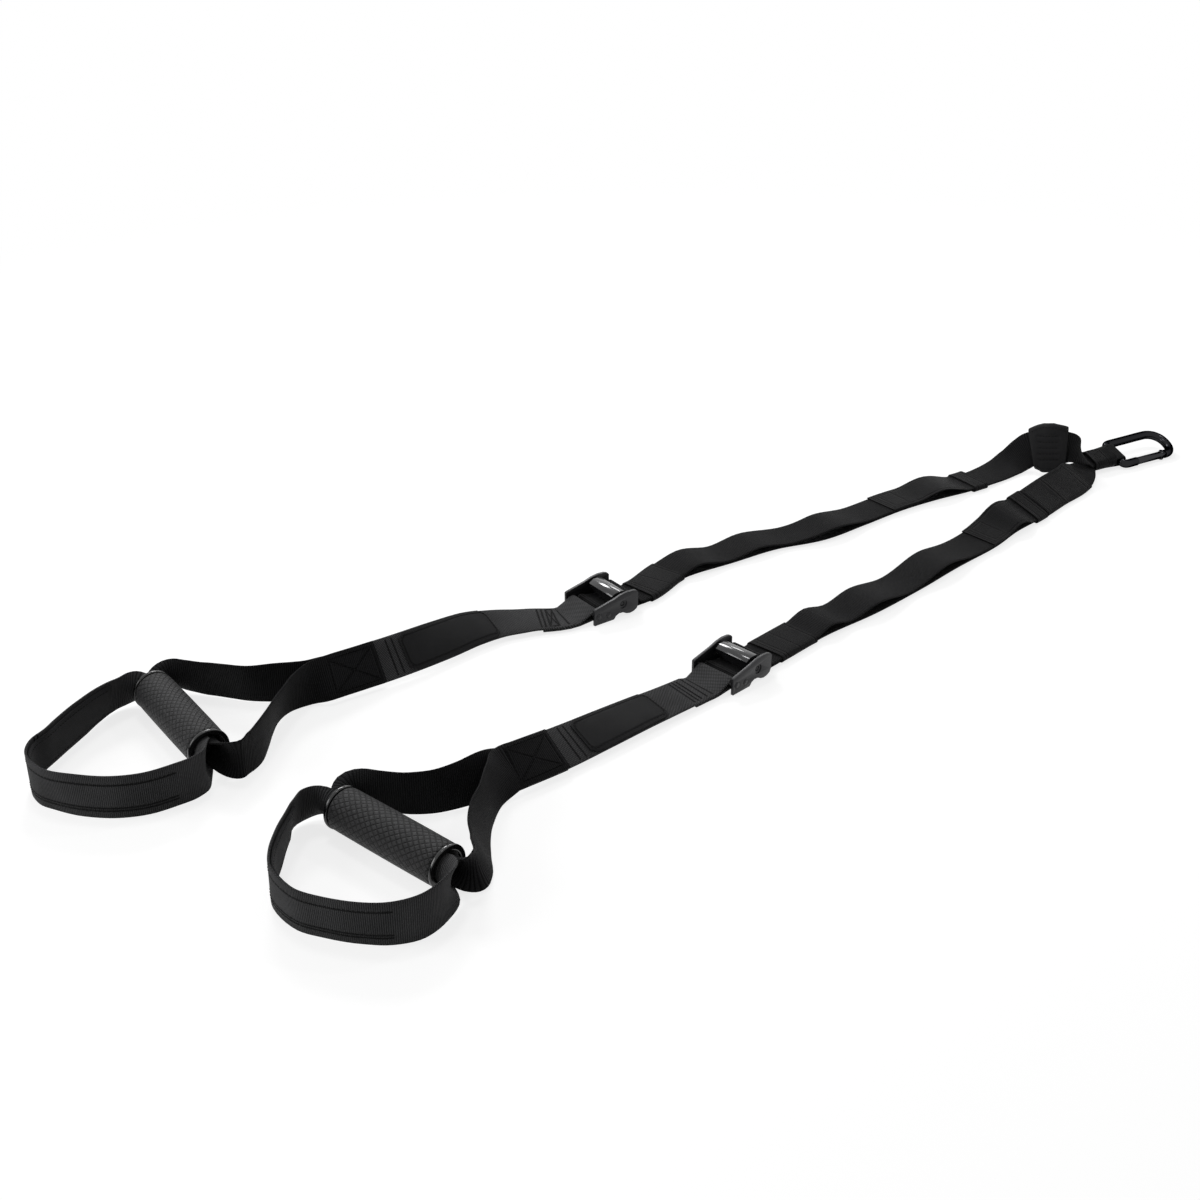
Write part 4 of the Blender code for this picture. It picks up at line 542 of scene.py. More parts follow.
# Smooth nylon cloth: close and flat, with fine yarns, so it looks darker and plainer than the
# webbing. The yarns are drawn 1.1 mm apart, because real ones are too fine to show.
NYLON = dict(name="black_nylon_cover_cloth", colour="#1a1a1b", roughness=0.50, rib=0.0011,
             yarn=0.0011, depth=0.0003, low=0.4, high=1.5, sheen=0.08)
xs = np.linspace(-TAB_BAR_DISTANCE - TAB_LENGTH, -TAB_BAR_DISTANCE, 15)
spread = np.interp(xs, [-STRAP_END_DISTANCE, -STRAP_END_DISTANCE / 2, 0.0],
                   [stack, (stack + radius) / 2, radius])
tab = anchor_strap([(x, 0.0) for x in xs])
tab_height = 2 * (spread + HALF_THICK + LAYER_GAP)
finish = cloth_for("anchor_tab", NYLON, sleeve_seams(TAB_SEAMS, TAB_LENGTH))
item = sleeve("anchor_sewn_tab", tab, tab_height, finish,
              width=LOOP_WEBBING_WIDTH, ridges=HEM_SHARES)
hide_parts("anchor_tab")
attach(item, "anchor")
tab_top = float(tab_height.min() / 2 + COVER_THICKNESS)
paths = box_path(TAB_SEAMS[0], TAB_BOX_END, LOOP_SEAM_PLACE)
paths += rows_across(TAB_ROWS, LOOP_SEAM_PLACE)
stitching("anchor_tab_stitching", tab, paths, -tab_top, "anchor")
stitching("anchor_tab_lower_stitching", tab, paths, tab_top, "anchor")

# The snap hook's bar: round steel, bent to a pear shape and dipped in gunmetal enamel. It is
# drawn again over its solid, rounder and with its coat, so that it carries long soft glints.
HOOK_LENGTH = 0.084
HOOK_BAR_SIDES = 28
HOOK_SHARES = (
    (0.790, -1.00), (0.820, -1.00), (0.895, -0.93), (0.965, -0.65), (1.000, -0.10), (0.985, 0.40),
    (0.920, 0.78), (0.820, 0.97), (0.700, 1.00), (0.450, 0.99), (0.200, 0.98), (0.070, 0.97),
    (0.033, 0.935), (0.009, 0.835), (0.000, 0.71), (0.000, 0.00), (0.000, -0.71),
    (0.009, -0.855), (0.033, -0.960), (0.070, -1.00), (0.200, -1.00), (0.240, -1.00))
UP = np.array([0.0, 0.0, 1.0])
STEPS = 6


def smooth(rows, steps=STEPS, closed=False):
    """Rows on a smooth line through the given rows, whose first three columns are a place."""
    rows = np.array(rows, dtype=float)
    if closed:
        padded = np.vstack([rows[-1], rows, rows[0], rows[1]])
    else:
        padded = np.vstack([2 * rows[0] - rows[1], rows, 2 * rows[-1] - rows[-2]])
    gaps = np.sqrt(np.linalg.norm(np.diff(padded[:, :3], axis=0), axis=1))
    knots = np.concatenate([[0.0], np.cumsum(gaps)])
    slope = np.diff(padded, axis=0) / gaps[:, None]
    before, after = slope[:-1], slope[1:]
    weight = (gaps[:-1] / (gaps[:-1] + gaps[1:]))[:, None]
    tangent = (1 - weight) * before + weight * after
    steady = before[:, 3:] * after[:, 3:] > 0
    total = np.where(steady, before[:, 3:] + after[:, 3:], 1.0)
    tangent[:, 3:] = np.where(steady, 2 * before[:, 3:] * after[:, 3:] / total, 0.0)
    result = []
    for index in range(1, (len(rows) if closed else len(rows) - 1) + 1):
        length = knots[index + 1] - knots[index]
        for t in np.arange(steps) / steps:
            result.append((2 * t**3 - 3 * t**2 + 1) * padded[index]
                          + (t**3 - 2 * t**2 + t) * length * tangent[index - 1]
                          + (3 * t**2 - 2 * t**3) * padded[index + 1]
                          + (t**3 - t**2) * length * tangent[index])
    if not closed:
        result.append(rows[-1])
    return np.array(result)


RUB_REACH = 0.0006


def coated(name, colour, roughness, grain, depth, worn, rim="#ffffff", **inputs):
    """Coated metal: a slight grain in the coat, rubbed brighter on its edges.

    The rim is how bright its sheen gets where the surface turns away.
    """
    paint = Finish(name, colour, roughness, Coat_Roughness=0.06, Specular_Tint=linear(rim),
                   **inputs)
    facing = paint.node("VectorMath DOT_PRODUCT", paint.node("Bevel", Radius=RUB_REACH),
                        paint.node("NewGeometry", out="Normal"), out="Value")
    rubbed = paint.node("MapRange", facing, 0.995, 0.90, 0.0, 1.0)
    patches = paint.node("TexNoise", paint.place, Scale=300.0)
    paint.shade(paint.node("Math MULTIPLY", rubbed, patches), 0.95, worn)
    smears = paint.node("TexNoise", paint.place, Scale=500.0)
    paint.set(Roughness=paint.node("Math MULTIPLY_ADD", smears, 0.12, roughness - 0.06))
    bumps = paint.node("TexNoise", paint.place, Scale=grain)
    paint.set(Normal=paint.node("Bump", Height=bumps, Distance=depth, Strength=0.5))
    return paint.material


# Gunmetal enamel over steel: near black from the front, with narrow bright glints and dark rims
ENAMEL = coated("gunmetal_hook_enamel", "#2a2a2c", 0.17, 700.0, 0.00001, worn=2.0,
                rim="#1c1c1e", Metallic=1.0)

bar_reach = HOOK_LENGTH - HOOK_BAR_DIAMETER
bar_half = (HOOK_WIDTH - HOOK_BAR_DIAMETER) / 2
bar = smooth([(x * bar_reach, y * bar_half, 0.0) for x, y in HOOK_SHARES], 8)
bar_radius = HOOK_BAR_DIAMETER / 2 + ENAMEL_SWELL
angles = np.linspace(0.0, 2 * math.pi, HOOK_BAR_SIDES, endpoint=False)
rings = []
for point, way in zip(bar, headings(bar)):
    side = np.array([-way[1], way[0], 0.0])
    ring = [point + bar_radius * (math.cos(a) * side + math.sin(a) * UP) for a in angles]
    rings.append([apply(ANCHOR, place) + SHIFT for place in ring])
item = skin("snap_hook_bar", rings, travelled(bar), bar_radius * angles, ENAMEL,
            angle_deg=60.0)
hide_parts("hook_body")
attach(item, "snap_hook")

# The hook's gate: a slotted steel rod that turns on a pin through the bar's flat tongue and is
# sprung shut by a plunger. The tongue is drawn here, and the rest are the frame's own solids.
GATE_DIAMETER = 0.0082
TONGUE_THICKNESS = 0.0030
TONGUE_HALF_WIDTH = 0.0033
TONGUE_ROOT = -0.002
TONGUE_SHOULDER = 0.0040
SOLID_EDGE = 0.0003
EDGE_ANGLE_DEG = 38.0


def place_at(origin, x_axis, z_axis=(0.0, 0.0, 1.0)):
    """A matrix at origin with its X and Z axes along the given directions."""
    x = Vector(x_axis).normalized()
    y = Vector(z_axis).cross(x).normalized()
    z = x.cross(y)
    return Matrix.Translation(Vector(origin)) @ Matrix((x, y, z)).transposed().to_4x4()


def ease_edges(item, width):
    """A narrow round on a piece's sharp edges, so that they catch the light."""
    ease = item.modifiers.new("ease", 'BEVEL')
    ease.width = width
    ease.segments = 2
    ease.limit_method = 'ANGLE'
    ease.angle_limit = math.radians(EDGE_ANGLE_DEG)


pivot_end, nose = Vector(bar[0]), Vector(bar[-1])
tongue_place = ANCHOR @ place_at(pivot_end, (nose - pivot_end).normalized())
outline = [(TONGUE_ROOT, -TONGUE_HALF_WIDTH), (TONGUE_SHOULDER, -TONGUE_HALF_WIDTH)]
outline += circle((GATE_DIAMETER / 2 + LAYER_GAP, 0.0), GATE_DIAMETER / 2 - LAYER_GAP, 14,
                  -75.0, 150.0)
outline += [(TONGUE_SHOULDER, TONGUE_HALF_WIDTH), (TONGUE_ROOT, TONGUE_HALF_WIDTH)]
rings = [[apply(tongue_place, (x, y, z)) + SHIFT for x, y in outline]
         for z in (-TONGUE_THICKNESS / 2, TONGUE_THICKNESS / 2)]
item = skin("hook_gate_tongue", rings, (0.0, TONGUE_THICKNESS), travelled(outline), ENAMEL,
            angle_deg=EDGE_ANGLE_DEG)
ease_edges(item, SOLID_EDGE)
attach(item, "snap_hook")

# Blackened steel, ground round: a shade lighter and duller than the enamel beside it
GATE = coated("dark_gate_metal", "#39393b", 0.22, 1200.0, 0.00002, worn=1.8, rim="#2c2c2e",
              Metallic=1.0)


def steel():
    """Zinc-plated steel, drawn fine and gone dull: the lightest metal here, softly streaked."""
    metal = Finish("drawn_dark_steel", "#6e6e70", 0.30, Metallic=1.0)
    smears = metal.node("TexNoise", metal.place, Scale=900.0)
    metal.set(Roughness=metal.node("Math MULTIPLY_ADD", smears, 0.25, 0.20))
    metal.shade(metal.node("TexNoise", metal.place, Scale=120.0), 0.5, 1.3)
    return metal.material


STEEL = steel()


def dress(node_name, finish, edge=0.0):
    """A CAD node's own solid, with a finish, smooth round faces and eased edges."""
    item = nodes[node_name]
    item.data.materials.clear()
    item.data.materials.append(finish)
    weld = item.modifiers.new("weld", 'WELD')
    weld.merge_threshold = 1e-6
    if edge:
        ease_edges(item, edge)
    item.data.shade_smooth()
    item.data.set_sharp_from_angle(angle=math.radians(EDGE_ANGLE_DEG))


dress("hook_gate", GATE, SOLID_EDGE)
for name in ("gate_pin", "gate_plunger", "gate_spring"):
    dress(name, STEEL)

# The cam buckles: folded steel side plates, bars and pins in satin powder coat, and a gloss
# lever whose cam grips the strap. Their solids are the frame's own, with eased edges.
PLATE_EDGE = 0.0004
# Powder coat on folded steel: satin, finely grained and black, with grey showing on its edges
POWDER = coated("satin_black_powder_coat", "#232325", 0.38, 2600.0, 0.00006, worn=2.4,
                Metallic=0.5)
# Gloss paint on the pressed lever: smooth, so its flat top holds one clear, bright reflection
LEVER = coated("gloss_black_lever_paint", "#2b2b2d", 0.18, 900.0, 0.00002, worn=2.5,
               Metallic=0.4, Coat_Weight=0.5)

for name in ("near", "far"):
    dress(f"{name}_buckle_frame", POWDER, PLATE_EDGE)
    dress(f"{name}_cam_lever", LEVER, SOLID_EDGE)
    for part in ("fixed_bar", "turn_bar", "cam_pin"):
        dress(f"{name}_{part}", POWDER)
    dress(f"{name}_cam_spring", STEEL)

# The main straps: black polyester webbing, 38 mm wide. Each is sewn askew into the anchor, lies
# over the floor to its buckle, goes round the turn bar and under the cam, and comes out again.
BUCKLE_LENGTH = 0.050
BUCKLE_FRONT_HEIGHT = 0.0152
TURN_BAR_DIAMETER = 0.0050
REAR_BAR_DIAMETER = 0.0050
FIXED_BAR_DIAMETER = 0.0055
CAM_PIN_HEIGHT = 0.0128
CAM_GRIP_LIFT = 0.0014
KEEPER_LENGTH = 0.050
KEEPER_OVERLAP = KEEPER_LENGTH * 0.40
STRAP_FOLD_LENGTH = 0.036
FOLDED_WIDTH = 0.019
WEAR_PAD_WIDTH = 0.054
ARM_REACH = 0.900
STATION = 0.0125
HALF_WEB = WEBBING_WIDTH / 2
FLOOR_GAP = COVER_THICKNESS + 3 * LAYER_GAP
TURN_RADIUS = TURN_BAR_DIAMETER / 2 + LAYER_GAP + HALF_THICK
FIXED_RADIUS = FIXED_BAR_DIAMETER / 2 + LAYER_GAP + HALF_THICK
REAR_RADIUS = REAR_BAR_DIAMETER / 2 + LAYER_GAP + HALF_THICK
CLAMP_Z = FLOOR_GAP + WEBBING_THICKNESS + 2 * LAYER_GAP + CAM_GRIP_LIFT + HALF_THICK
TURN_BAR_Z = FLOOR_GAP + HALF_THICK + TURN_RADIUS
FIXED_BAR_Z = BUCKLE_FRONT_HEIGHT / 2 + HALF_THICK / 2
REAR_BAR_Z = CAM_PIN_HEIGHT - HALF_THICK
FIXED_BAR_X = -0.40 * BUCKLE_LENGTH
TURN_BAR_X = -0.18 * BUCKLE_LENGTH
CAM_PIN_X = 0.146 * BUCKLE_LENGTH
REAR_BAR_X = 0.40 * BUCKLE_LENGTH
# How far the route is held straight on each side of a buckle's middle
STRAIGHT_SHARE = 0.78 * BUCKLE_LENGTH / ARM_REACH
SEWN_LENGTH = TAB_LENGTH * 0.70
# Along, aside, height and roll of each strap between the anchor and its own route
NEAR_TURN_SHARES = ((0.010, -0.140, 0.160, -18.0), (0.022, -0.065, 0.166, -18.0))
FAR_TURN_SHARES = (
    (0.0080, 0.112, 0.340, -27.0), (0.0160, 0.126, 0.462, -44.0), (0.0245, 0.165, 0.572, -65.0),
    (0.0325, 0.226, 0.590, -77.0), (0.0385, 0.287, 0.568, -77.0), (0.0430, 0.350, 0.538, -75.0),
    (0.0465, 0.425, 0.500, -73.0), (0.0498, 0.495, 0.430, -67.0), (0.0550, 0.550, 0.300, -46.0),
    (0.0645, 0.590, 0.160, -20.0), (0.0800, 0.602, 0.082, -7.0), (0.1000, 0.602, 0.055, -3.0))
# How far askew the two sewn ends are
NEAR_SKEW_DEG = 12.0
FAR_SKEW_DEG = 6.0
# How far before the keeper the main strap's stretch with the length joint ends
STRAP_BEND_GAP_SHARE = 0.01


def hermite(table, slopes, share):
    """Value and slope of a smooth line through a table, at one share."""
    knots = table[:, 0]
    index = int(np.clip(np.searchsorted(knots, share) - 1, 0, len(knots) - 2))
    span = knots[index + 1] - knots[index]
    t = (share - knots[index]) / span
    a, b = table[index, 1:], table[index + 1, 1:]
    m, n = slopes[index] * span, slopes[index + 1] * span
    value = ((2 * t**3 - 3 * t**2 + 1) * a + (t**3 - 2 * t**2 + t) * m
             + (3 * t**2 - 2 * t**3) * b + (t**3 - t**2) * n)
    slope = ((6 * t**2 - 6 * t) * (a - b) + (3 * t**2 - 4 * t + 1) * m
             + (3 * t**2 - 2 * t) * n) / span
    return value, slope


class Arm:
    """The route of one arm over the floor, and where its pieces sit along it, as shares."""

    def __init__(self, name, sway, route_shares, places):
        self.name = name
        self.sway = sway
        self.places = places
        table = np.array(route_shares)
        slopes = np.gradient(table[:, 1:], table[:, 0], axis=0)
        middle, reach = places["buckle"], STRAIGHT_SHARE
        value, slope = hermite(table, slopes, middle)
        value[1], slope[1] = 0.0, 0.0
        away = np.abs(table[:, 0] - middle) > 1.2 * reach
        ends = [[middle + side * reach, *(value + side * reach * slope)] for side in (-1, 1)]
        table = np.vstack([table[away], ends])
        slopes = np.vstack([slopes[away], slope, slope])
        order = np.argsort(table[:, 0])
        self.route, self.slopes = table[order], slopes[order]

    def at(self, share, lift=0.0):
        """Centre, across direction, heading and normal of a strap lying at this share."""
        (side_share, roll_deg), (side_slope, _) = hermite(self.route, self.slopes, share)
        roll = math.radians(roll_deg)
        heading = unit(np.array([-ARM_REACH, self.sway * side_slope, 0.0]))
        across = math.cos(roll) * np.cross(UP, heading) + math.sin(roll) * UP
        normal = np.cross(heading, across)
        height = abs(math.sin(roll)) * HALF_WEB + math.cos(roll) * HALF_THICK + FLOOR_GAP
        centre = np.array([-share * ARM_REACH, self.sway * side_share, height])
        return centre + lift * normal, across, heading, normal

    def roll_at(self, share):
        return hermite(self.route, self.slopes, share)[0][1]

    def spot(self, share, lift=0.0):
        """A place on the route, in the frame."""
        return Vector(self.at(share, lift)[0] + SHIFT)


# Share along the reach, share of the sway, and roll in degrees
NEAR_ARM = Arm("near", 0.0650, (
    (0.040, -0.02, -27.0), (0.065, -0.115, -29.0), (0.100, -0.16, -26.0), (0.160, -0.28, -21.0),
    (0.210, -0.33, -13.0), (0.260, -0.46, -4.0), (0.320, -0.53, 0.0), (0.400, -0.66, 0.0),
    (0.480, -0.75, 0.0), (0.550, -0.755, 0.0), (0.620, -0.857, 0.0), (0.676, -0.945, 0.0),
    (0.730, -1.01, -4.0), (0.765, -1.03, -7.0), (0.800, -1.05, -12.0), (0.850, -1.10, -21.0),
    (0.900, -1.15, -31.0), (0.956, -1.155, -42.0)),
    {"joins": (0.042,), "band": (0.045, 0.148), "slider_end": 0.152, "pull_end": 0.176,
     "pull_start": 0.230, "tail_end": 0.266, "buckle": 0.676, "label": (0.778, 0.872),
     "box": 0.054, "end": 0.956})
FAR_ARM = Arm("far", 0.1180, (
    (0.118, 0.600, 0.0), (0.160, 0.632, 0.0), (0.200, 0.690, 0.0), (0.260, 0.745, 0.0),
    (0.330, 0.750, 0.0), (0.390, 0.765, 0.0), (0.445, 0.890, 0.0), (0.510, 0.945, 0.0),
    (0.575, 0.995, 0.0), (0.640, 0.905, 0.0), (0.687, 0.885, 0.0), (0.730, 0.930, -3.0),
    (0.770, 1.030, -5.0), (0.800, 1.100, -14.0), (0.830, 1.110, -27.0), (0.870, 1.075, -41.0),
    (0.930, 1.060, -52.0), (1.000, 1.085, -64.0)),
    {"joins": (0.128, 0.160), "slider_end": 0.134, "pull_end": 0.158, "pull_start": 0.236,
     "tail_end": 0.280, "buckle": 0.687, "label": (0.805, 0.915), "box": 0.056, "end": 1.000})
ARMS = (NEAR_ARM, FAR_ARM)


def standing(rows, steps=STEPS, closed=False):
    """A strap line from rows of place, roll in degrees and curl: centre, across and curl."""
    line = smooth(rows, steps, closed)
    centre = line[:, :3]
    forward = headings(centre, closed)
    side = np.cross([0.0, 0.0, 1.0], forward)
    side /= np.linalg.norm(side, axis=1)[:, None]
    rise = np.cross(forward, side)
    roll = np.radians(line[:, 3])[:, None]
    return centre, np.cos(roll) * side + np.sin(roll) * rise, line[:, 4]


def anchor_rows(lift, skew_deg):
    """Rows for standing(), where an arm's end is sewn askew between the anchor loop's legs."""
    skew = math.tan(math.radians(skew_deg))
    rows = []
    for along in (0.0, 0.35, 0.7, 1.0):
        x = (along - 0.5) * SEWN_LENGTH
        place = (-STRAP_END_DISTANCE - SEWN_LENGTH / 2 - x, -x * skew, lift)
        rows.append((*apply(ANCHOR, place), -ANCHOR_ROLL_DEG, 0.0))
    return rows


def turn_rows(arm):
    """Rows from the anchor to the arm's own route. The far arm stands up on its edge there."""
    near = arm is NEAR_ARM
    lift = (-0.5 if near else 0.5) * (LAYER + ANCHOR_SPREAD)
    rows = anchor_rows(lift, NEAR_SKEW_DEG if near else FAR_SKEW_DEG)
    for along, aside, height, roll in NEAR_TURN_SHARES if near else FAR_TURN_SHARES:
        aside = -aside if near else aside
        rows.append((-along * ARM_REACH, aside * arm.sway, height * WEAR_PAD_WIDTH, roll, 0.0))
    return rows


def route_rows(arm, shares, lift, back=False):
    """Rows for standing(), on an arm. Going back to the anchor turns the strap over."""
    rows = []
    for share in shares:
        roll = arm.roll_at(share)
        rows.append((*arm.at(share, lift)[0], -180.0 - roll if back else roll, 0.0))
    return rows


def head_line(arm):
    """Centre, across and curl from the anchor to where the arm's own route takes over."""
    return standing(turn_rows(arm) + route_rows(arm, arm.places["joins"], 0.0))


def folded_width(centre):
    start = TAB_BAR_DISTANCE + TAB_LENGTH
    return np.interp(HOOK_BAR_PLACE - centre[:, 0], [start, start + STRAP_FOLD_LENGTH],
                     [FOLDED_WIDTH, WEBBING_WIDTH])


def station(share):
    return round(share * ARM_REACH / STATION) * STATION / ARM_REACH


def share_steps(start, end, length=STATION / 2):
    """Shares from start to end at stations that every layer of the arm uses."""
    step = length / ARM_REACH
    low, high = min(start, end), max(start, end)
    inner = np.arange(math.ceil(low / step + 0.3), math.floor(high / step - 0.3) + 1) * step
    shares = np.concatenate([[low], inner, [high]])
    return shares if end > start else shares[::-1]


def lines(arm, shares, lifts):
    """Centre and across arrays of a strap that lies along an arm at the given lifts."""
    lifts = np.broadcast_to(lifts, len(shares))
    places = [arm.at(share, lift) for share, lift in zip(shares, lifts)]
    return np.array([p[0] for p in places]), np.array([p[1] for p in places])


def buckle_place(arm):
    """The buckle's own frame: X towards the anchor, on the floor under its middle."""
    centre, _, heading, _ = arm.at(arm.places["buckle"])
    return place_at((centre[0], centre[1], 0.0), -heading)


def in_buckle(arm, points):
    """Centre and across arrays for a strap line of x and height in the buckle's frame."""
    place = buckle_place(arm)
    centre = np.array([apply(place, (x, 0.0, z)) for x, z in points])
    across = np.tile(np.array(place.to_3x3() @ Vector((0.0, -1.0, 0.0))), (len(points), 1))
    return centre, across


def strap_turn():
    """The strap inside the buckle: round the turn bar, under the cam, over the rear bar."""
    arc = circle((TURN_BAR_X, TURN_BAR_Z), TURN_RADIUS, 14, -90.0, -180.0)
    top = TURN_BAR_Z + TURN_RADIUS
    ease = (REAR_BAR_X - CAM_PIN_X) / 2
    over = [(*arc[-1], 0.0), (TURN_BAR_X / 2, (top + CLAMP_Z) / 2, 0.0),
            (CAM_PIN_X - ease / 2, CLAMP_Z, 0.0), (CAM_PIN_X + ease / 3, CLAMP_Z, 0.0),
            (REAR_BAR_X - REAR_RADIUS - HALF_THICK, (CLAMP_Z + REAR_BAR_Z) / 2, 0.0)]
    over = [point[:2] for point in smooth(over, 4)]
    rear = circle((REAR_BAR_X, REAR_BAR_Z), REAR_RADIUS, 8, 180.0, -90.0)
    return arc[:-1] + over + rear + [(REAR_BAR_X + LAYER, rear[-1][1])]


def joined(*parts, **facts):
    return Strap(np.vstack([p[0] for p in parts]), np.vstack([p[1] for p in parts]), **facts)


def keeper_ends(arm):
    """The shares where the keeper starts and ends, beside the buckle."""
    rear = arm.places["buckle"] - BUCKLE_LENGTH / 2 / ARM_REACH
    end = station(rear - KEEPER_OVERLAP / ARM_REACH)
    return end - KEEPER_LENGTH / ARM_REACH, end


for arm in ARMS:
    rear = arm.places["buckle"] - BUCKLE_LENGTH / 2 / ARM_REACH
    head = head_line(arm)
    run = lines(arm, share_steps(arm.places["joins"][-1], rear)[1:], 0.0)
    turn = in_buckle(arm, strap_turn())
    widths = folded_width(np.vstack([head[0], run[0], turn[0]]))
    strap = joined(head[:2], run, turn, width=widths)
    item = band(f"{arm.name}_adjusting_strap", strap, WEBBING)
    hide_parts(f"{arm.name}_main_strap")
    arm.spot(arm.places["tail_end"])
    arm.spot(keeper_ends(arm)[0] - STRAP_BEND_GAP_SHARE)
    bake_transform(item)

# The tails: each main strap's loose end. It drops from the buckle's rear bar to the keeper, and
# lies back over the strap in waves. The tables give its lift, between its two ends.
TAIL_WAVE_HEIGHT = 0.0070
TAIL_WAVE_SHARES = {
    "near": ((0.0, 0.0), (0.160, 0.0), (0.225, 0.85), (0.310, 0.15), (0.405, 1.0), (0.580, 0.05),
             (0.760, 1.0), (0.900, 0.1), (0.960, 0.0), (1.0, 0.0)),
    "far": ((0.0, 0.0), (0.155, 0.0), (0.240, 0.80), (0.350, 0.05), (0.465, 0.6), (0.590, 0.05),
            (0.740, 1.0), (0.880, 0.1), (0.950, 0.0), (1.0, 0.0))}
TAIL_DROP_SHARES = ((0.0, 1.0), (0.2, 0.9), (0.5, 0.45), (0.8, 0.08), (1.0, 0.0))
TAIL_DROP_START = REAR_BAR_X + LAYER + LAYER_GAP
TAIL_DROP_END = 0.72 * BUCKLE_LENGTH
TAIL_FLAT_START = 0.77 * BUCKLE_LENGTH
TAIL_BEND_GAP_SHARE = 0.005

for arm in ARMS:
    name, places = arm.name, arm.places
    keeper_start, keeper_end = keeper_ends(arm)
    top, flat = REAR_BAR_Z + REAR_RADIUS, FLOOR_GAP + HALF_THICK + LAYER
    fall = [(TAIL_DROP_START + along * (TAIL_DROP_END - TAIL_DROP_START), 0.0, 0.0,
             flat + high * (top - flat)) for along, high in TAIL_DROP_SHARES]
    drop = in_buckle(arm, [(point[0], point[3]) for point in smooth(fall, 4)])
    wave = np.array(TAIL_WAVE_SHARES[name])
    slopes = np.gradient(wave[:, 1:], wave[:, 0], axis=0)
    shares = share_steps(places["buckle"] - TAIL_FLAT_START / ARM_REACH, places["pull_start"])
    lifts = []
    for share in shares:
        along = (keeper_end - share) / (keeper_end - places["tail_end"])
        height = hermite(wave, slopes, min(1.0, max(0.0, along)))[0][0]
        lifts.append(LAYER + max(0.0, height) * TAIL_WAVE_HEIGHT)
    strap = joined(drop, lines(arm, shares, lifts))
    item = band(f"{name}_loose_tail", strap, WEBBING)
    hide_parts(f"{name}_tail_strap")
    arm.spot(keeper_start - TAIL_BEND_GAP_SHARE)
    arm.spot(places["tail_end"] + TAIL_BEND_GAP_SHARE)
    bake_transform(item)

# The keepers: nylon cloth sleeves beside the buckles, which hold the tails to the straps. They
# are hemmed at both ends and sewn across in four rows and along both sides.
KEEPER_ROW_PLACES = (0.0035, 0.0075)
KEEPER_SIDE_START = 0.004
SIDE_SEAM_PLACE = 0.0165
KEEPER_RIPPLE = 0.0003

for arm in ARMS:
    name = arm.name
    keeper_start, keeper_end = keeper_ends(arm)
    keeper = Strap(*lines(arm, share_steps(keeper_end, keeper_start), LAYER / 2))
    room = 2 * WEBBING_THICKNESS + 5 * LAYER_GAP
    length = keeper.along[-1]
    seams = (*KEEPER_ROW_PLACES, length * 0.5, length - KEEPER_ROW_PLACES[0])
    finish = cloth_for(f"{name}_keeper", NYLON, sleeve_seams(seams, length))
    item = sleeve(f"{name}_keeper_sleeve", keeper, room, finish,
                  ridges=HEM_SHARES, ripple=KEEPER_RIPPLE)
    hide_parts(f"{name}_keeper")
    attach(item, f"{name}_buckle")
    paths = rows_across(seams, SIDE_SEAM_PLACE)
    paths += rows_along(KEEPER_SIDE_START, length - KEEPER_SIDE_START,
                        (-SIDE_SEAM_PLACE, SIDE_SEAM_PLACE), 8)
    stitching(f"{name}_keeper_stitching", keeper, paths, room / 2 + COVER_THICKNESS,
              f"{name}_buckle")

# The pull loops: nylon cloth sewn over each tail's end in a box, which runs on as a raised loop
# for the fingers and ends in the slider.
PULL_LOOP_HEIGHT = 0.0065
PULL_ROW_PLACES = (0.0025, 0.0055)
PULL_BOX = (0.010, 0.028, 0.0145)
PULL_SIDE_START = 0.002
PULL_SIDE_LEFT = 0.030
EDGE_SEAM_PLACE = 0.0170

for arm in ARMS:
    name, places = arm.name, arm.places
    cover = (COVER_THICKNESS + WEBBING_THICKNESS) / 2 + LAYER_GAP
    shares = share_steps(places["tail_end"], places["slider_end"])
    arch_start, arch_end = places["pull_start"], places["pull_end"]
    lifts = []
    for share in shares:
        along = (arch_start - share) / (arch_start - arch_end)
        arch = math.sin(math.pi * min(1.0, max(0.0, along))) ** 1.5 * PULL_LOOP_HEIGHT
        under = LAYER if share > arch_start else LAYER * max(0.0, 1.0 - along)
        lifts.append(cover + under + arch)
    pull = Strap(*lines(arm, shares, lifts), width=WEBBING_WIDTH + 2 * COVER_SIDE_GAP)
    edges = rows_along(PULL_SIDE_START, pull.along[-1] - PULL_SIDE_LEFT,
                       (-EDGE_SEAM_PLACE, EDGE_SEAM_PLACE), 24)
    paths = rows_across(PULL_ROW_PLACES, SIDE_SEAM_PLACE) + box_path(*PULL_BOX, crossed=False)
    finish = cloth_for(f"{name}_pull_loop", NYLON, paths + [[e[0], e[-1]] for e in edges])
    item = band(f"{name}_pull_loop_cloth", pull, finish, COVER_THICKNESS)
    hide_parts(f"{name}_pull_loop")
    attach(item, f"{name}_tail_end")
    stitching(f"{name}_pull_loop_stitching", pull, paths + edges, COVER_THICKNESS / 2,
              f"{name}_tail_end")

# The sliders: short nylon cloth sleeves with thick hems. Each holds the end of its pull loop on
# the main strap and slides along it.
SLIDER_ROW_PLACE = 0.004
SLIDER_HEM_HEIGHT = 0.0012
SLIDER_HEM_SHARES = (0.08, 0.92)
SLIDER_OVERLAP = 0.3 * STATION

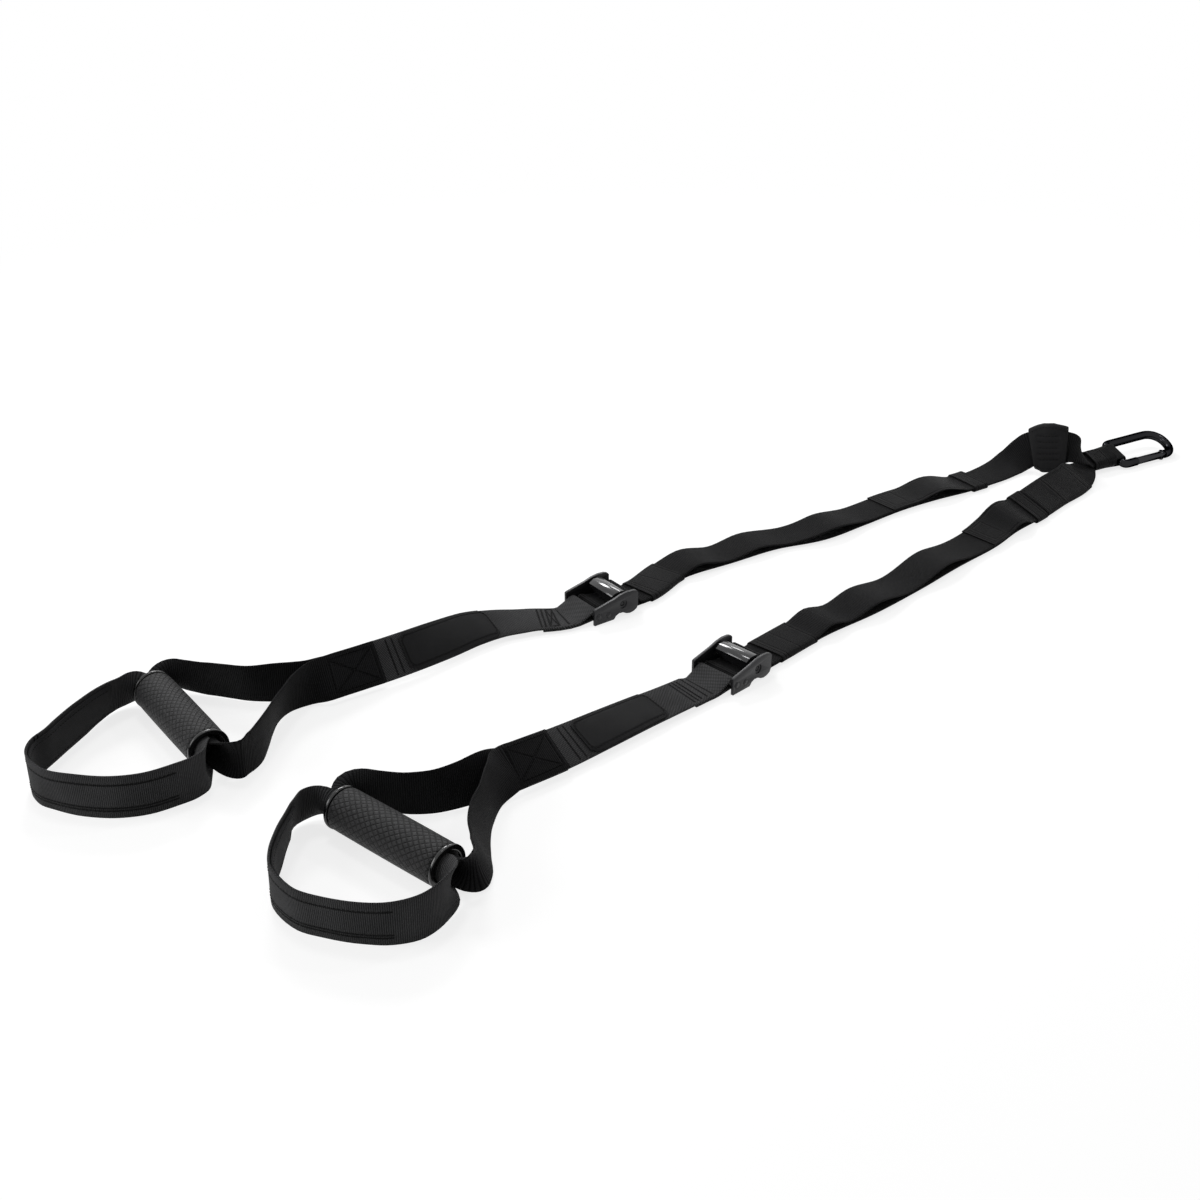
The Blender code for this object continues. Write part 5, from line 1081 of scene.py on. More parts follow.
for arm in ARMS:
    name, places = arm.name, arm.places
    shares = share_steps(places["pull_end"] - SLIDER_OVERLAP / ARM_REACH, places["slider_end"])
    room = WEBBING_THICKNESS + COVER_THICKNESS + 5 * LAYER_GAP
    slide = Strap(*lines(arm, shares, (room - WEBBING_THICKNESS) / 2 - 1.5 * LAYER_GAP))
    length = slide.along[-1]
    seams = (SLIDER_ROW_PLACE, length - SLIDER_ROW_PLACE)
    finish = cloth_for(f"{name}_tail_slider", NYLON, sleeve_seams(seams, length))
    item = sleeve(f"{name}_tail_slider_sleeve", slide, room, finish,
                  width=WEBBING_WIDTH + 3 * COVER_SIDE_GAP, ridges=SLIDER_HEM_SHARES,
                  ridge=SLIDER_HEM_HEIGHT)
    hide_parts(f"{name}_tail_slider")
    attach(item, f"{name}_tail_end")
    stitching(f"{name}_tail_slider_stitching", slide, rows_across(seams, EDGE_SEAM_PLACE),
              room / 2 + COVER_THICKNESS, f"{name}_tail_end")

# The top band: a long nylon cloth sleeve sewn round the near strap below the anchor, with five
# rows across it and a row along each side.
BAND_ROW_PLACES = (0.0045, 0.0115)
BAND_ROW_SHARES = (0.55, 0.6)
BAND_LAST_ROW = 0.004
BAND_SIDE_ENDS = (0.008, 0.005)
BAND_HEM_HEIGHT = 0.0014
BAND_HEM_SHARES = (0.02, 0.09, 0.575, 0.98)
BAND_RIPPLE = 0.0003

top_band = Strap(*lines(NEAR_ARM, share_steps(*NEAR_ARM.places["band"]), 0.0))
room = WEBBING_THICKNESS + 2 * LAYER_GAP
length = top_band.along[-1]
seams = (*BAND_ROW_PLACES, *[length * share for share in BAND_ROW_SHARES], length - BAND_LAST_ROW)
finish = cloth_for("near_top_band", NYLON, sleeve_seams(seams, length))
item = sleeve("near_top_band_cloth", top_band, room, finish,
              ridges=BAND_HEM_SHARES, ripple=BAND_RIPPLE, ridge=BAND_HEM_HEIGHT)
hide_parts("near_top_band")
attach(item, "anchor")
paths = rows_across(seams, SIDE_SEAM_PLACE)
paths += rows_along(BAND_SIDE_ENDS[0], length - BAND_SIDE_ENDS[1],
                    (-EDGE_SEAM_PLACE, EDGE_SEAM_PLACE), 24)
for sign, side in ((1, "upper"), (-1, "lower")):
    stitching(f"near_top_band_{side}_stitching", top_band, paths,
              sign * (room / 2 + COVER_THICKNESS), "anchor")

# The wear pad: a quilted cloth sleeve round the far strap, where it stands up on its edge. It
# is lightly filled, its corners are cut off, and five short seams hold the filling.
WEAR_PAD_START = 0.0265
WEAR_PAD_LENGTH = 0.038
WEAR_PAD_CORNER_LENGTH = 0.012
WEAR_PAD_THICKNESS = 0.0020
PAD_INSIDE = WEBBING_THICKNESS + 7 * LAYER_GAP
PAD_WIDTH = WEAR_PAD_WIDTH - 2 * (COVER_SIDE_GAP + WEAR_PAD_THICKNESS)
PAD_END_WIDTH = WEBBING_WIDTH + 4 * COVER_SIDE_GAP
PAD_FACE = PAD_INSIDE / 2 + WEAR_PAD_THICKNESS
PAD_SWELL = 0.0013
PAD_SIDES = 44
QUILT_PLACES = (-0.0130, -0.0065, 0.0, 0.0065, 0.0130)
QUILT_SHARES = (0.24, 0.76)
QUILT_EASE_SHARE = 0.06
QUILT_DEPTH = 0.0011
QUILT_WIDTH = 0.0012
QUILT_LIFT = 0.0002
BORDER_LIFT = 0.0006
BORDER_END, BORDER_END_PLACE, BORDER_PLACE = 0.002, 0.018, 0.0225
QUILT_PITCH = 0.0030
# Dull close cloth, charcoal: its fine weave catches little light, so that its folds and seams
# show. Its yarns are drawn 1.0 mm apart, because the real ones are too fine to show.
DULL_CLOTH = dict(name="black_patch_cloth", colour="#2f2f30", rib=0.0010, yarn=0.0010,
                  depth=0.00025, low=0.4, high=1.5, sheen=0.10)

line, across, _ = head_line(FAR_ARM)
along = travelled(line)
start = along[np.argmax(line[:, 0] <= -WEAR_PAD_START)]
inside = (along >= start) & (along <= start + WEAR_PAD_LENGTH)
pad = Strap(line[inside], across[inside], width=WEAR_PAD_WIDTH)
length = pad.along[-1]
to_end = np.minimum(pad.along, length - pad.along)
pad_widths = np.interp(to_end, [0.0, WEAR_PAD_CORNER_LENGTH], [PAD_END_WIDTH, PAD_WIDTH])


def quilting(share, x):
    """The pad's puffed face, drawn down along its five short seams."""
    crown = math.sin(math.pi * min(1.0, max(0.0, share))) ** 0.5
    within = min(share - QUILT_SHARES[0], QUILT_SHARES[1] - share) + QUILT_EASE_SHARE
    held = min(1.0, max(0.0, within / QUILT_EASE_SHARE))
    seam = sum(math.exp(-((x - v) / QUILT_WIDTH) ** 2) for v in QUILT_PLACES)
    return PAD_SWELL * crown - QUILT_DEPTH * held * min(1.0, seam)


item = sleeve("quilted_wear_pad", pad, PAD_INSIDE, cloth_for("wear_pad", DULL_CLOTH),
              width=pad_widths, wall=WEAR_PAD_THICKNESS, relief=quilting,
              sides=PAD_SIDES)
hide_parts("wear_pad")
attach(item, "anchor")
quilt = [[(share * length, v) for share in QUILT_SHARES] for v in QUILT_PLACES]
border = [[(BORDER_END, side * BORDER_END_PLACE), (WEAR_PAD_CORNER_LENGTH, side * BORDER_PLACE),
           (length - WEAR_PAD_CORNER_LENGTH, side * BORDER_PLACE),
           (length - BORDER_END, side * BORDER_END_PLACE)] for side in (-1, 1)]
for sign, side in ((1, "inner"), (-1, "outer")):
    stitching(f"wear_pad_{side}_stitching", pad, quilt, sign * (PAD_FACE + QUILT_LIFT), "anchor",
              QUILT_PITCH)
    stitching(f"wear_pad_{side}_border_stitching", pad, border, sign * (PAD_FACE + BORDER_LIFT),
              "anchor")

# The label arms: twill webbing, sewn round the buckle's fixed bar and doubled back on itself, up
# to the stitched box where the grip's strap joins it.
TAG_OVERLAP = KEEPER_LENGTH * 0.75
TAG_EASE = KEEPER_LENGTH * 0.25
# Where the seams lie, as shares of the reach: beside the bar, the box, and beyond the label
BAR_ROW_SHARES = (0.008, 0.012)
BOX_START_SHARE, BOX_END_SHARE = 0.015, -0.006
LABEL_ROW_SHARES = (0.006, 0.011)
# Two more rows past the box's end, and the box's half width, in metres
BOX_ROW_PLACES = (0.004, 0.008)
BOX_HALF_WIDTH = 0.0160
# Black twill webbing: slanting ribs that stand higher and catch more light than plain webbing's,
# with a painted highlight on each crest. They are drawn 1.9 mm apart, because the real ones are
# too fine to show.
TWILL = dict(name="black_twill_webbing", colour="#4e4e4f", rib=0.0019, yarn=0.0020, depth=0.0007,
             slant=0.55)

for arm in ARMS:
    name, places = arm.name, arm.places
    front = places["buckle"] + BUCKLE_LENGTH / 2 / ARM_REACH
    sewn, eased = front + TAG_OVERLAP / ARM_REACH, front + TAG_EASE / ARM_REACH
    arc = circle((FIXED_BAR_X, FIXED_BAR_Z), FIXED_RADIUS, 18, -86.0, 204.0)
    last = share_steps(eased, places["end"], STATION)[-2]
    under = lines(arm, share_steps(sewn, eased), 0.0)
    over = lines(arm, share_steps(eased, last), LAYER)
    strap = joined(under, in_buckle(arm, arc), over)
    bar_rows = [strap.near(arm.spot(eased + more, LAYER)) for more in BAR_ROW_SHARES]
    box_start = strap.near(arm.spot(eased + BOX_START_SHARE, LAYER))
    box_end = strap.near(arm.spot(sewn + BOX_END_SHARE, LAYER))
    label_end = station(places["label"][1])
    label_rows = [strap.near(arm.spot(label_end + more, LAYER)) for more in LABEL_ROW_SHARES]
    paths = rows_across(bar_rows, SIDE_SEAM_PLACE)
    paths += box_path(box_start, box_end, BOX_HALF_WIDTH)
    paths += rows_across([box_end + more for more in BOX_ROW_PLACES], SIDE_SEAM_PLACE)
    paths += rows_across(label_rows, SIDE_SEAM_PLACE)
    item = band(f"{name}_label_webbing", strap, cloth_for(name, TWILL, paths))
    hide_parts(f"{name}_label_strap")
    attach(item, f"{name}_label_arm")
    stitching(f"{name}_label_webbing_stitching", strap, paths, HALF_THICK, f"{name}_label_arm")

# The label patches: plain pieces of dull cloth with round corners, lightly puffed and sewn on
# top of the label arms by a row of thread all round.
LABEL_PATCH_THICKNESS = 0.0010
LABEL_PATCH_MARGIN = 0.0010
LABEL_PUFF = 0.0010
LABEL_CORNER = 0.006
LABEL_CORNER_DEPTH = 0.0045
LABEL_SEAM_PLACE = 0.0145
LABEL_SEAM_END = 0.002
LABEL_SEAM_CORNER = 0.004
LABEL_SEAM_CUT = 0.003
LABEL_SEAM_LIFT = 0.0004

for arm in ARMS:
    name = arm.name
    label_start, label_end = [station(share) for share in arm.places["label"]]
    lift = LAYER + HALF_THICK + 2 * LAYER_GAP + LABEL_PATCH_THICKNESS / 2
    patch = Strap(*lines(arm, share_steps(label_start, label_end), lift))
    total = patch.along[-1]
    short = np.maximum(0.0, LABEL_CORNER - np.minimum(patch.along, total - patch.along))
    inset = LABEL_CORNER - np.sqrt(np.maximum(0.0, LABEL_CORNER**2 - short**2))
    patch.width = patch.width - 2 * np.minimum(inset, LABEL_CORNER_DEPTH)
    cut = LABEL_SEAM_PLACE - LABEL_SEAM_CUT
    half = [(total - LABEL_SEAM_CORNER, -LABEL_SEAM_PLACE), (total - LABEL_SEAM_END, -cut),
            (total - LABEL_SEAM_END, cut), (total - LABEL_SEAM_CORNER, LABEL_SEAM_PLACE)]
    other = [(total - along, -across) for along, across in half]
    paths = [[other[-1], *half, *other]]
    item = band(f"{name}_bare_label_patch", patch, cloth_for(f"{name}_label", DULL_CLOTH, paths),
                LABEL_PATCH_THICKNESS, LABEL_PATCH_MARGIN, LABEL_PUFF)
    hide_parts(f"{name}_label_patch")
    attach(item, f"{name}_label_arm")
    stitching(f"{name}_label_patch_stitching", patch, paths,
              LABEL_PATCH_THICKNESS / 2 + LABEL_SEAM_LIFT, f"{name}_label_arm")

# The grip straps: black polyester webbing. Each leaves the stitched box, spreads to both ends of
# its grip and goes through the grip's tube, and both its ends are sewn in a crossed box.
GRIP_LENGTH = 0.114
CORE_DIAMETER = 0.0286
CORE_WALL = 0.0014
BORE_RADIUS = CORE_DIAMETER / 2 - CORE_WALL
FOOT_CURL_RADIUS = BORE_RADIUS - LAYER_GAP - HALF_THICK
TRIANGLE_CURL_RADIUS = FOOT_CURL_RADIUS - LAYER - LAYER_GAP
BORE_END_SHARE = 0.9
HANDLE_STEPS = 5
CROSSED_BOX_INSET = 0.004
CROSSED_BOX_HALF = 0.0155
SECOND_BOX_STEP = 0.0015
SECOND_BOX_HALF = 0.0140
# In a leg's last two rows: how much of the tube's curl it has at the grip, and how much of the
# sewn box's lean at its other end
CURL_SHARES = (0.7, 0.2)
LEAN_SHARES = (0.40, 0.10)


class Handle:
    """A grip's place on the floor, with its triangle and foot loop drawn round it.

    Places are shares of half the grip's length along it, towards its outer end, then of the
    triangle's or foot loop's depth, towards the foot. The third number is a lean in degrees.
    """

    def __init__(self, arm, turn_deg, triangle_depth, along_at_end, loop_depth, rear_leg_shares,
                 front_leg_shares, loop_shares):
        turn = math.radians(turn_deg)
        self.triangle_depth = triangle_depth
        self.loop_depth = loop_depth
        self.rear_leg = rear_leg_shares
        self.front_leg = front_leg_shares
        self.loop = loop_shares
        self.out = np.array([math.cos(turn), math.sin(turn), 0.0])
        self.foot = np.array([math.sin(turn), -math.cos(turn), 0.0])
        end = arm.at(arm.places["end"])[0]
        end = np.array([end[0], end[1], HALF_WEB + LAYER_GAP])
        self.centre = (end - along_at_end * GRIP_LENGTH / 2 * self.out
                       + triangle_depth * self.foot)

    def rows(self, shares, depth, upright, curls):
        """Rows for standing() at the given places, leaning off upright."""
        found = []
        for (along, foot, lean), curl in zip(shares, curls):
            place = self.centre + along * GRIP_LENGTH / 2 * self.out + foot * depth * self.foot
            found.append((*place, upright + lean, curl))
        return found

    def bore_rows(self, side, radius, upright):
        """Rows through the grip from its inner to its outer end, curled in its bore."""
        end = 1.0 + 2 * LAYER_GAP / GRIP_LENGTH
        shares = [(along, side, 0.0) for along in (-end, -BORE_END_SHARE, BORE_END_SHARE, end)]
        return self.rows(shares, radius, upright, [-1.0 / radius] * len(shares))


HANDLES = {"near": Handle(
    NEAR_ARM, -80.2, 0.121, -0.030, 0.1010,
    ((-0.090, -0.830, 9.0), (-0.180, -0.657, 8.0), (-0.323, -0.493, 4.0), (-0.540, -0.375, 0.0),
     (-0.850, -0.258, -4.0), (-1.100, -0.145, 0.0)),
    ((1.165, -0.085, 0.0), (1.225, -0.120, -14.0), (1.140, -0.205, -22.0), (0.860, -0.322, -24.0),
     (0.610, -0.453, -20.0), (0.400, -0.605, -8.0), (0.170, -0.785, 2.0)),
    ((1.220, 0.120, 0.0), (1.400, 0.272, 0.0), (1.445, 0.480, 0.0), (1.270, 0.675, -3.0),
     (0.960, 0.820, -5.0), (0.560, 0.935, -5.0), (0.180, 1.000, -3.0), (-0.340, 0.950, 0.0),
     (-0.630, 0.830, 2.0), (-0.880, 0.660, 3.0), (-1.120, 0.478, 9.0), (-1.270, 0.352, 12.0),
     (-1.370, 0.215, 17.0), (-1.240, 0.120, 20.0))), "far": Handle(
    FAR_ARM, -93.8, 0.1253, 0.198, 0.1265,
    ((0.100, -0.880, -4.0), (-0.130, -0.700, -4.0), (-0.330, -0.550, -9.0), (-0.580, -0.445, -11.0),
     (-0.800, -0.355, -13.0), (-1.000, -0.240, -15.0), (-1.100, -0.130, -12.0)),
    ((1.200, -0.083, 0.0), (1.410, -0.120, 6.0), (1.380, -0.190, 3.0), (1.230, -0.290, 0.0),
     (0.955, -0.408, 5.0), (0.705, -0.505, 10.0), (0.470, -0.610, 14.0), (0.295, -0.720, 12.0),
     (0.205, -0.870, 4.0)),
    ((1.200, 0.095, 0.0), (1.400, 0.110, 0.0), (1.510, 0.190, 0.0), (1.530, 0.320, 0.0),
     (1.500, 0.500, 0.0), (1.330, 0.675, 0.0), (1.045, 0.825, 0.0), (0.690, 0.950, -4.0),
     (0.420, 0.998, 0.0), (0.100, 0.995, 0.0), (-0.170, 0.930, 3.0), (-0.355, 0.812, 6.0),
     (-0.485, 0.735, 5.0), (-0.665, 0.624, 5.0), (-0.865, 0.488, 7.0), (-1.010, 0.387, 11.0),
     (-1.140, 0.265, 17.0), (-1.160, 0.190, 20.0), (-1.100, 0.125, 18.0)))}

for arm in ARMS:
    name, end, handle = arm.name, arm.places["end"], HANDLES[arm.name]
    whole = share_steps(station(end - arm.places["box"]), end, STATION)
    shares = share_steps(whole[0], whole[-3])
    end_roll = arm.roll_at(end)
    legs = []
    for leg, turned_to, ends in ((handle.rear_leg, end_roll, (0, 1)),
                                 (handle.front_leg, -180.0 - end_roll, (-1, -2))):
        eased = [list(row) for row in leg]
        curls = [0.0] * len(leg)
        for row, lean, curl in zip(ends, LEAN_SHARES, CURL_SHARES):
            eased[row][2] += lean * (turned_to + 90.0)
            curls[-1 - row] = -curl / TRIANGLE_CURL_RADIUS
        legs.append(handle.rows(eased, handle.triangle_depth, -90.0, curls))
    rows = (route_rows(arm, whole[-2:], 0.0) + legs[0]
            + handle.bore_rows(-1, TRIANGLE_CURL_RADIUS, -90.0) + legs[1]
            + route_rows(arm, whole[:-3:-1], 2 * LAYER, back=True))
    centre, across, curl = standing(rows, HANDLE_STEPS)
    flat = np.zeros(len(shares))
    strap = joined(lines(arm, shares, 0.0), (centre, across), lines(arm, shares[::-1], 2 * LAYER),
                   curl=np.concatenate([flat, curl, flat]))
    box = arm.places["box"] * ARM_REACH
    start, stop = strap.along[-1] - CROSSED_BOX_INSET, strap.along[-1] - box + CROSSED_BOX_INSET
    paths = box_path(start, stop, CROSSED_BOX_HALF)
    finish = cloth_for(f"{name}_grip_strap", POLYESTER, paths)
    item = band(f"{name}_grip_strap_webbing", strap, finish)
    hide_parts(f"{name}_triangle_strap")
    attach(item, f"{name}_label_arm")
    paths += box_path(start - SECOND_BOX_STEP, stop + SECOND_BOX_STEP, SECOND_BOX_HALF,
                      crossed=False)
    stitching(f"{name}_crossed_box_stitching", strap, paths, -HALF_THICK, f"{name}_label_arm")
    paths = box_path(CROSSED_BOX_INSET, box - CROSSED_BOX_INSET, CROSSED_BOX_HALF)
    stitching(f"{name}_crossed_box_lower_stitching", strap, paths, -HALF_THICK,
              f"{name}_label_arm")

# The foot loops: charcoal webbing, each a closed band that goes through the grip's tube and
# hangs beyond it. Three rows of thread hold the lining, and two rows across mark the join.
FOOT_ROW_PLACES = (-0.0125, -0.0100, 0.0115)
FOOT_JOIN_PLACE = 0.030
FOOT_JOIN_ROWS = 0.004
# Charcoal polyester webbing: greyer than the straps, with the same fine ribs across it. They
# are drawn 1.5 mm apart, because the real ones are too fine to show.
CHARCOAL = dict(name="charcoal_foot_webbing", colour="#49494a", rib=0.0015, yarn=0.0012,
                depth=0.0005)
# The lining: a thin padded strip of dull cloth on the loop's inner face
FOOT_PAD_THICKNESS = 0.0016
FOOT_PAD_MARGIN = 0.0030
FOOT_PAD_PUFF = 0.0004
LINING_SEAM_PLACE = 0.0125
LINING_SEAM_INSET = 0.004
LINING_SEAM_LIFT = 0.0002

for arm in ARMS:
    name, handle = arm.name, HANDLES[arm.name]
    full = -1.0 / FOOT_CURL_RADIUS
    curls = [0.5 * full, 0.1 * full] + [0.0] * (len(handle.loop) - 4) + [0.1 * full, 0.5 * full]
    rows = (handle.bore_rows(1, FOOT_CURL_RADIUS, 90.0)
            + handle.rows(handle.loop, handle.loop_depth, 90.0, curls))
    centre, across, curl = standing(rows, HANDLE_STEPS, closed=True)
    loop = Strap(centre, across, curl=curl, closed=True)
    first, last = 7 * HANDLE_STEPS, len(centre) - 3 * HANDLE_STEPS
    start, stop = loop.along[first], loop.along[last - 1]
    seams = [[(start, v), (stop, v)] for v in FOOT_ROW_PLACES]
    middle = (start + stop) / 2 + FOOT_JOIN_PLACE
    seams += rows_across((middle, middle + FOOT_JOIN_ROWS), HALF_WEB)
    item = band(f"{name}_foot_loop_webbing", loop, cloth_for(name, CHARCOAL, seams))
    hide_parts(f"{name}_foot_loop")
    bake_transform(item)
    paths = rows_along(start, stop, FOOT_ROW_PLACES, last - first)
    stitching(f"{name}_foot_loop_stitching", loop, paths, -HALF_THICK, f"{name}_foot")

    shift = HALF_THICK + 2 * LAYER_GAP + FOOT_PAD_THICKNESS / 2
    lining = Strap((centre + shift * loop.normal)[first:last], across[first:last])
    item = band(f"{name}_foot_lining", lining, cloth_for(f"{name}_foot", DULL_CLOTH),
                FOOT_PAD_THICKNESS, FOOT_PAD_MARGIN, FOOT_PAD_PUFF)
    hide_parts(f"{name}_foot_pad")
    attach(item, f"{name}_foot")
    paths = rows_along(LINING_SEAM_INSET, lining.along[-1] - LINING_SEAM_INSET,
                       (-LINING_SEAM_PLACE, LINING_SEAM_PLACE), 60)
    stitching(f"{name}_foot_lining_stitching", lining, paths,
              FOOT_PAD_THICKNESS / 2 + LINING_SEAM_LIFT, f"{name}_foot")

# The grips: a matt plastic tube, a knurled rubber sleeve with eased shoulders moulded over it,
# and a gloss cap pressed on each end. They spin on the webbing.
GRIP_DIAMETER = 0.0342
GRIP_SHOULDER = 0.0022
GRIP_CROWN = 0.00025
GRIP_SIDES = 72
# Across one diamond of the knurl
KNURL_CELL = 0.0066
KNURL_SLANT = 1.25
CAP_DIAMETER = 0.0352
CAP_THICKNESS = 0.0030
CAP_EDGE = 0.0010
CAP_MOUTH = 0.0012
CAP_SEAT = 0.0006
CAP_SIDES = 64


def knurled():
    """Charcoal rubber, moulded in diamonds with fine ribs that change direction in each one.

    It is matt. Its colour carries painted shade in the grooves and a painted highlight on the
    lands, which show the pattern.
    """
    rubber = Finish("charcoal_knurled_rubber", "#2b2b2c", 0.50, Specular_IOR_Level=0.25)
    lengths = rubber.node("UVMap", uv_map="lengths")
    across = rubber.node("SeparateXYZ", lengths, out="X")
    lean = rubber.node("Math MULTIPLY", rubber.node("SeparateXYZ", lengths, out="Y"), KNURL_SLANT)
    slants = [rubber.node("Math DIVIDE", rubber.node(f"Math {way}", across, lean), KNURL_CELL)
              for way in ("ADD", "SUBTRACT")]
    groove = rubber.node("Math MINIMUM", *[rubber.hump(slant) for slant in slants])
    land = rubber.node("Math MINIMUM", rubber.node("Math MULTIPLY", groove, 1.5), 1.0)
    cells = rubber.node("Math ADD", *[rubber.node("Math FLOOR", slant) for slant in slants])
    odd = rubber.node("Math PINGPONG", cells, 1.0)
    fine = [rubber.hump(rubber.node("Math MULTIPLY", slant, 4.0)) for slant in slants]
    pick = rubber.node("Mix", odd, None, *fine, data_type='FLOAT')
    ribs = rubber.node("Math MULTIPLY_ADD", pick, 0.35, 0.65)
    height = rubber.node("Math MULTIPLY", land, ribs)
    rubber.set(Normal=rubber.node("Bump", Height=height, Distance=0.0010, Strength=1.0))
    # painted shade in the grooves and a painted highlight on the lands
    rubber.shade(height, 0.10, 1.45)
    smears = rubber.node("TexNoise", rubber.place, Scale=200.0)
    rubber.set(Roughness=rubber.node("Math MULTIPLY_ADD", smears, 0.15, 0.45))
    return rubber.material


def moulded(name, colour, roughness):
    """Moulded ABS with a faint orange-peel skin, which breaks its reflections up a little."""
    finish = Finish(name, colour, roughness, Specular_IOR_Level=0.5)
    smears = finish.node("TexNoise", finish.place, Scale=400.0)
    finish.set(Roughness=finish.node("Math MULTIPLY_ADD", smears, 0.12, roughness - 0.06))
    peel = finish.node("TexNoise", finish.place, Scale=1500.0)
    finish.set(Normal=finish.node("Bump", Height=peel, Distance=0.00003, Strength=0.4))
    return finish.material


RUBBER = knurled()
# The tube is spark-eroded matt, and the caps come from a polished mould and shine
CORE_PLASTIC = moulded("matt_black_core_plastic", "#252526", 0.50)
CAP_PLASTIC = moulded("gloss_black_cap_plastic", "#1c1c1d", 0.16)


def turned(name, profile, sides, place, finish):
    """A turned ring from a closed profile of radius and height."""
    angles = np.linspace(0.0, 2 * math.pi, sides, endpoint=False)
    rings = [[apply(place, (r * math.cos(a), r * math.sin(a), z)) + SHIFT for r, z in profile]
             for a in angles]
    outer = max(r for r, _ in profile)
    return skin(name, rings, outer * angles, travelled(profile), finish, closed=True)


half = GRIP_LENGTH / 2 - CAP_THICKNESS - LAYER_GAP
inner, outer = CORE_DIAMETER / 2 + LAYER_GAP, GRIP_DIAMETER / 2
shoulder = outer - GRIP_SHOULDER
sleeve_profile = [(inner, -half)]
sleeve_profile += circle((shoulder, GRIP_SHOULDER - half), GRIP_SHOULDER, 4, -90.0, 90.0)
sleeve_profile += [(outer + GRIP_CROWN * (1 - share**2), share * half)
                   for share in np.linspace(-0.9, 0.9, 19)]
sleeve_profile += circle((shoulder, half - GRIP_SHOULDER), GRIP_SHOULDER, 4, 0.0, 90.0)
sleeve_profile += [(inner, half)]
rim = CAP_DIAMETER / 2 - CAP_EDGE
cap_profile = [(BORE_RADIUS + CAP_SEAT, 0.0)]
cap_profile += circle((rim, CAP_EDGE), CAP_EDGE, 3, -90.0, 90.0)
cap_profile += circle((rim, CAP_THICKNESS - CAP_EDGE), CAP_EDGE, 3, 0.0, 90.0)
cap_profile += circle((BORE_RADIUS + CAP_MOUTH, CAP_THICKNESS - CAP_MOUTH), CAP_MOUTH, 3, 90.0,
                      90.0)
cap_profile += [(BORE_RADIUS, CAP_SEAT)]

for arm in ARMS:
    name, handle = arm.name, HANDLES[arm.name]
    place = place_at(handle.centre, handle.out) @ Matrix.Rotation(math.radians(90.0), 4, 'Y')
    item = turned(f"{name}_knurled_grip", sleeve_profile, GRIP_SIDES, place, RUBBER)
    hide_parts(f"{name}_grip_sleeve")
    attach(item, f"{name}_grip")
    dress(f"{name}_grip_core", CORE_PLASTIC)
    for end, turn_deg in (("outer", 0.0), ("inner", 180.0)):
        seat = (place @ Matrix.Rotation(math.radians(turn_deg), 4, 'X')
                @ Matrix.Translation((0.0, 0.0, GRIP_LENGTH / 2 - CAP_THICKNESS)))
        item = turned(f"{name}_gloss_cap_{end}", cap_profile, CAP_SIDES, seat, CAP_PLASTIC)
        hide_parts(f"{name}_grip_cap_{end}")
        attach(item, f"{name}_grip")

# The stage: matt white paper on the floor, which looks pure white to the camera but for soft
# contact shadows, and fades into the white world with distance.
FLOOR_SIZE = 8.0
FLOOR_DROP = 0.0003
FADE_START, FADE_END = 0.75, 1.6
WHITE = (1.0, 1.0, 1.0, 1.0)


def white_paper():
    """White paper, half lit by the lamps and half glowing, so that shadows on it stay soft."""
    paper = Finish("white_studio_floor", "#e9e9e9", 0.9, Specular_IOR_Level=0.0)
    seen = paper.node("Math MAXIMUM", paper.node("LightPath", out="Is Camera Ray"),
                      paper.node("LightPath", out="Is Glossy Ray"))
    glow = paper.node("Emission", WHITE, 1.55)
    lit = paper.node("MixShader", paper.node("Math MULTIPLY", seen, 0.5), paper.shader.outputs[0],
                     glow)
    away = paper.node("VectorMath LENGTH", paper.place, out="Value")
    far = paper.node("MapRange", away, FADE_START, FADE_END, 0.0, 1.0,
                     interpolation_type='SMOOTHSTEP')
    faded = paper.node("MixShader", paper.node("Math MULTIPLY", far, seen), lit,
                       paper.node("Emission", WHITE, 1.0))
    feed(paper.tree, paper.tree.nodes["Material Output"], {"Surface": faded})
    return paper.material


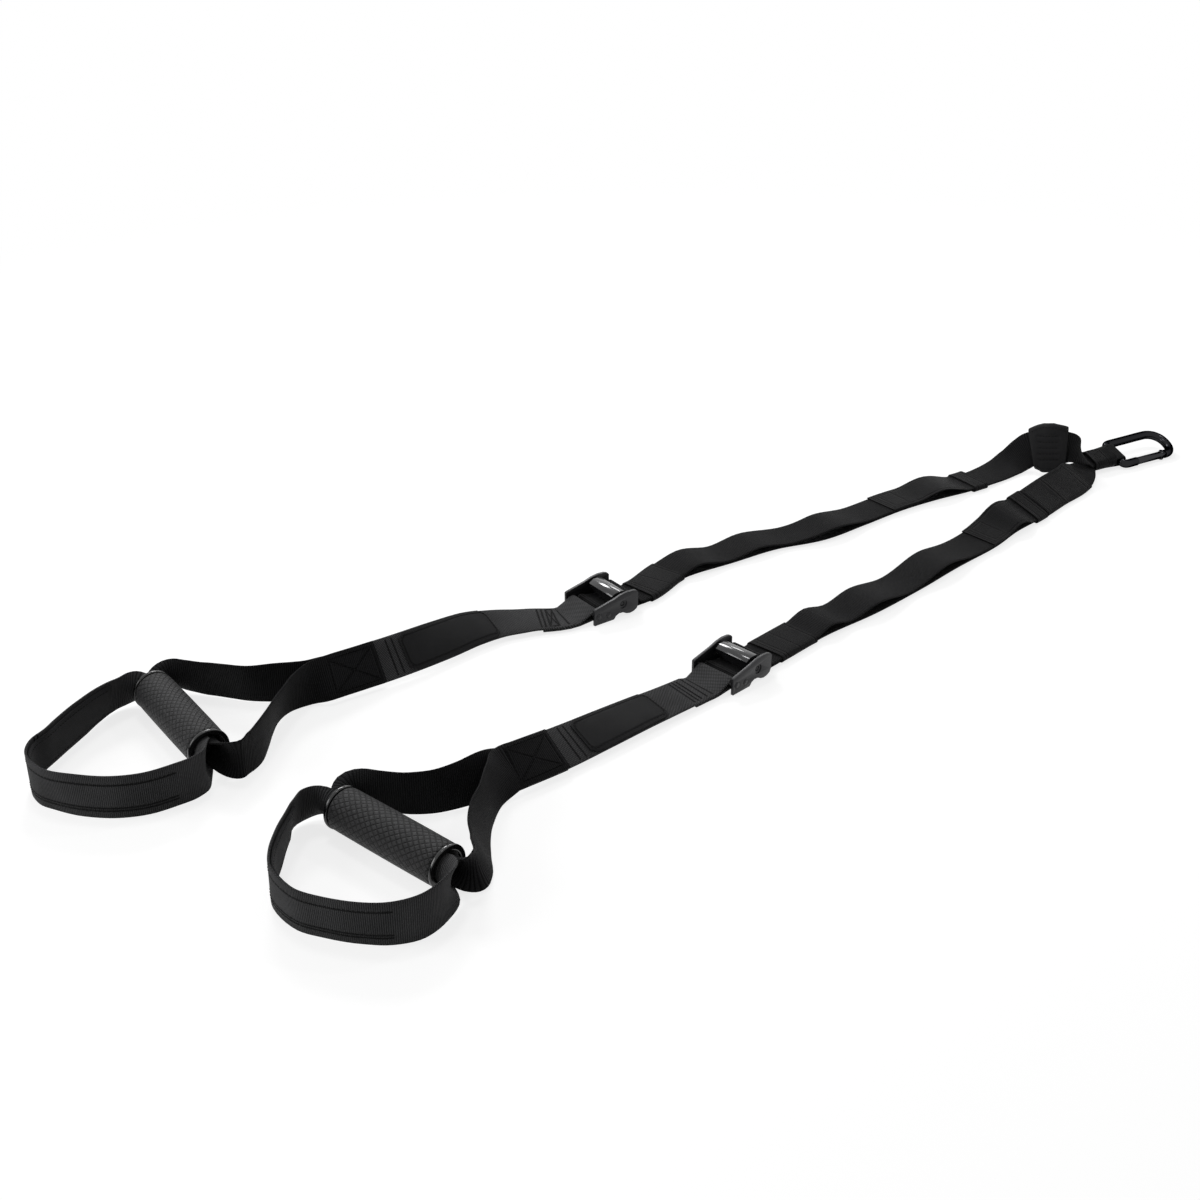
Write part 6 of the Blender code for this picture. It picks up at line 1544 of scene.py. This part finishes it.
build = bmesh.new()
bmesh.ops.create_grid(build, x_segments=1, y_segments=1, size=FLOOR_SIZE)
mesh = bpy.data.meshes.new("white_floor")
build.to_mesh(mesh)
build.free()
mesh.materials.append(white_paper())
item = bpy.data.objects.new("white_floor", mesh)
item.location = (0.0, 0.0, -FLOOR_DROP)
bpy.context.scene.collection.objects.link(item)

# The world: white to the camera and in reflections, and dimmer as a light
WORLD_LIGHT = 0.22
world = bpy.data.worlds.new("studio")
bpy.context.scene.world = world
world.use_nodes = True
tree = world.node_tree
seen = add_node(tree, "Math MAXIMUM", add_node(tree, "LightPath", out="Is Camera Ray"),
                add_node(tree, "LightPath", out="Is Glossy Ray"))
level = add_node(tree, "MapRange", seen, To_Min=WORLD_LIGHT, To_Max=1.0)
feed(tree, tree.nodes["Background"], {"Color": WHITE, "Strength": level})


# The lamps: three softboxes, and two small ones whose reflections show in the levers and hook
def softbox(name, place, target, size, power):
    light = bpy.data.lights.new(name, 'AREA')
    light.shape = 'RECTANGLE'
    light.size, light.size_y = size
    light.energy = power
    item = bpy.data.objects.new(name, light)
    item.location = place
    item.rotation_euler = (Vector(target) - Vector(place)).to_track_quat('-Z', 'Y').to_euler()
    bpy.context.scene.collection.objects.link(item)


softbox("rear_softbox", (0.5, 1.7, 1.5), (0.0, 0.0, 0.0), (0.6, 0.4), 15.0)
softbox("left_softbox", (-2.0, 0.9, 0.9), (-0.3, 0.0, 0.0), (1.0, 1.0), 14.0)
softbox("overhead_softbox", (-0.3, 0.5, 2.0), (0.0, 0.0, 0.0), (0.4, 0.3), 5.0)
softbox("lever_glint", (1.23, 1.26, 1.09), (-0.09, -0.08, 0.0), (0.34, 0.34), 3.0)
softbox("hook_glint", (0.92, -0.12, 1.5), (0.62, 0.0, 0.0), (0.14, 0.14), 2.2)

# The camera: a 50 mm lens, 736 mm above the floor and tipped down towards it by 28 degrees
camera = bpy.data.cameras.new("camera")
camera.lens = 50.0
camera.sensor_width = 36.0
camera.clip_start = 0.01
camera_item = bpy.data.objects.new("camera", camera)
camera_item.location = (-0.974, -0.974, 0.7362)
camera_item.rotation_euler = [math.radians(angle) for angle in (62.1, 0.0, -39.38)]
bpy.context.scene.collection.objects.link(camera_item)
bpy.context.scene.camera = camera_item
bpy.context.scene.view_settings.view_transform = 'Standard'
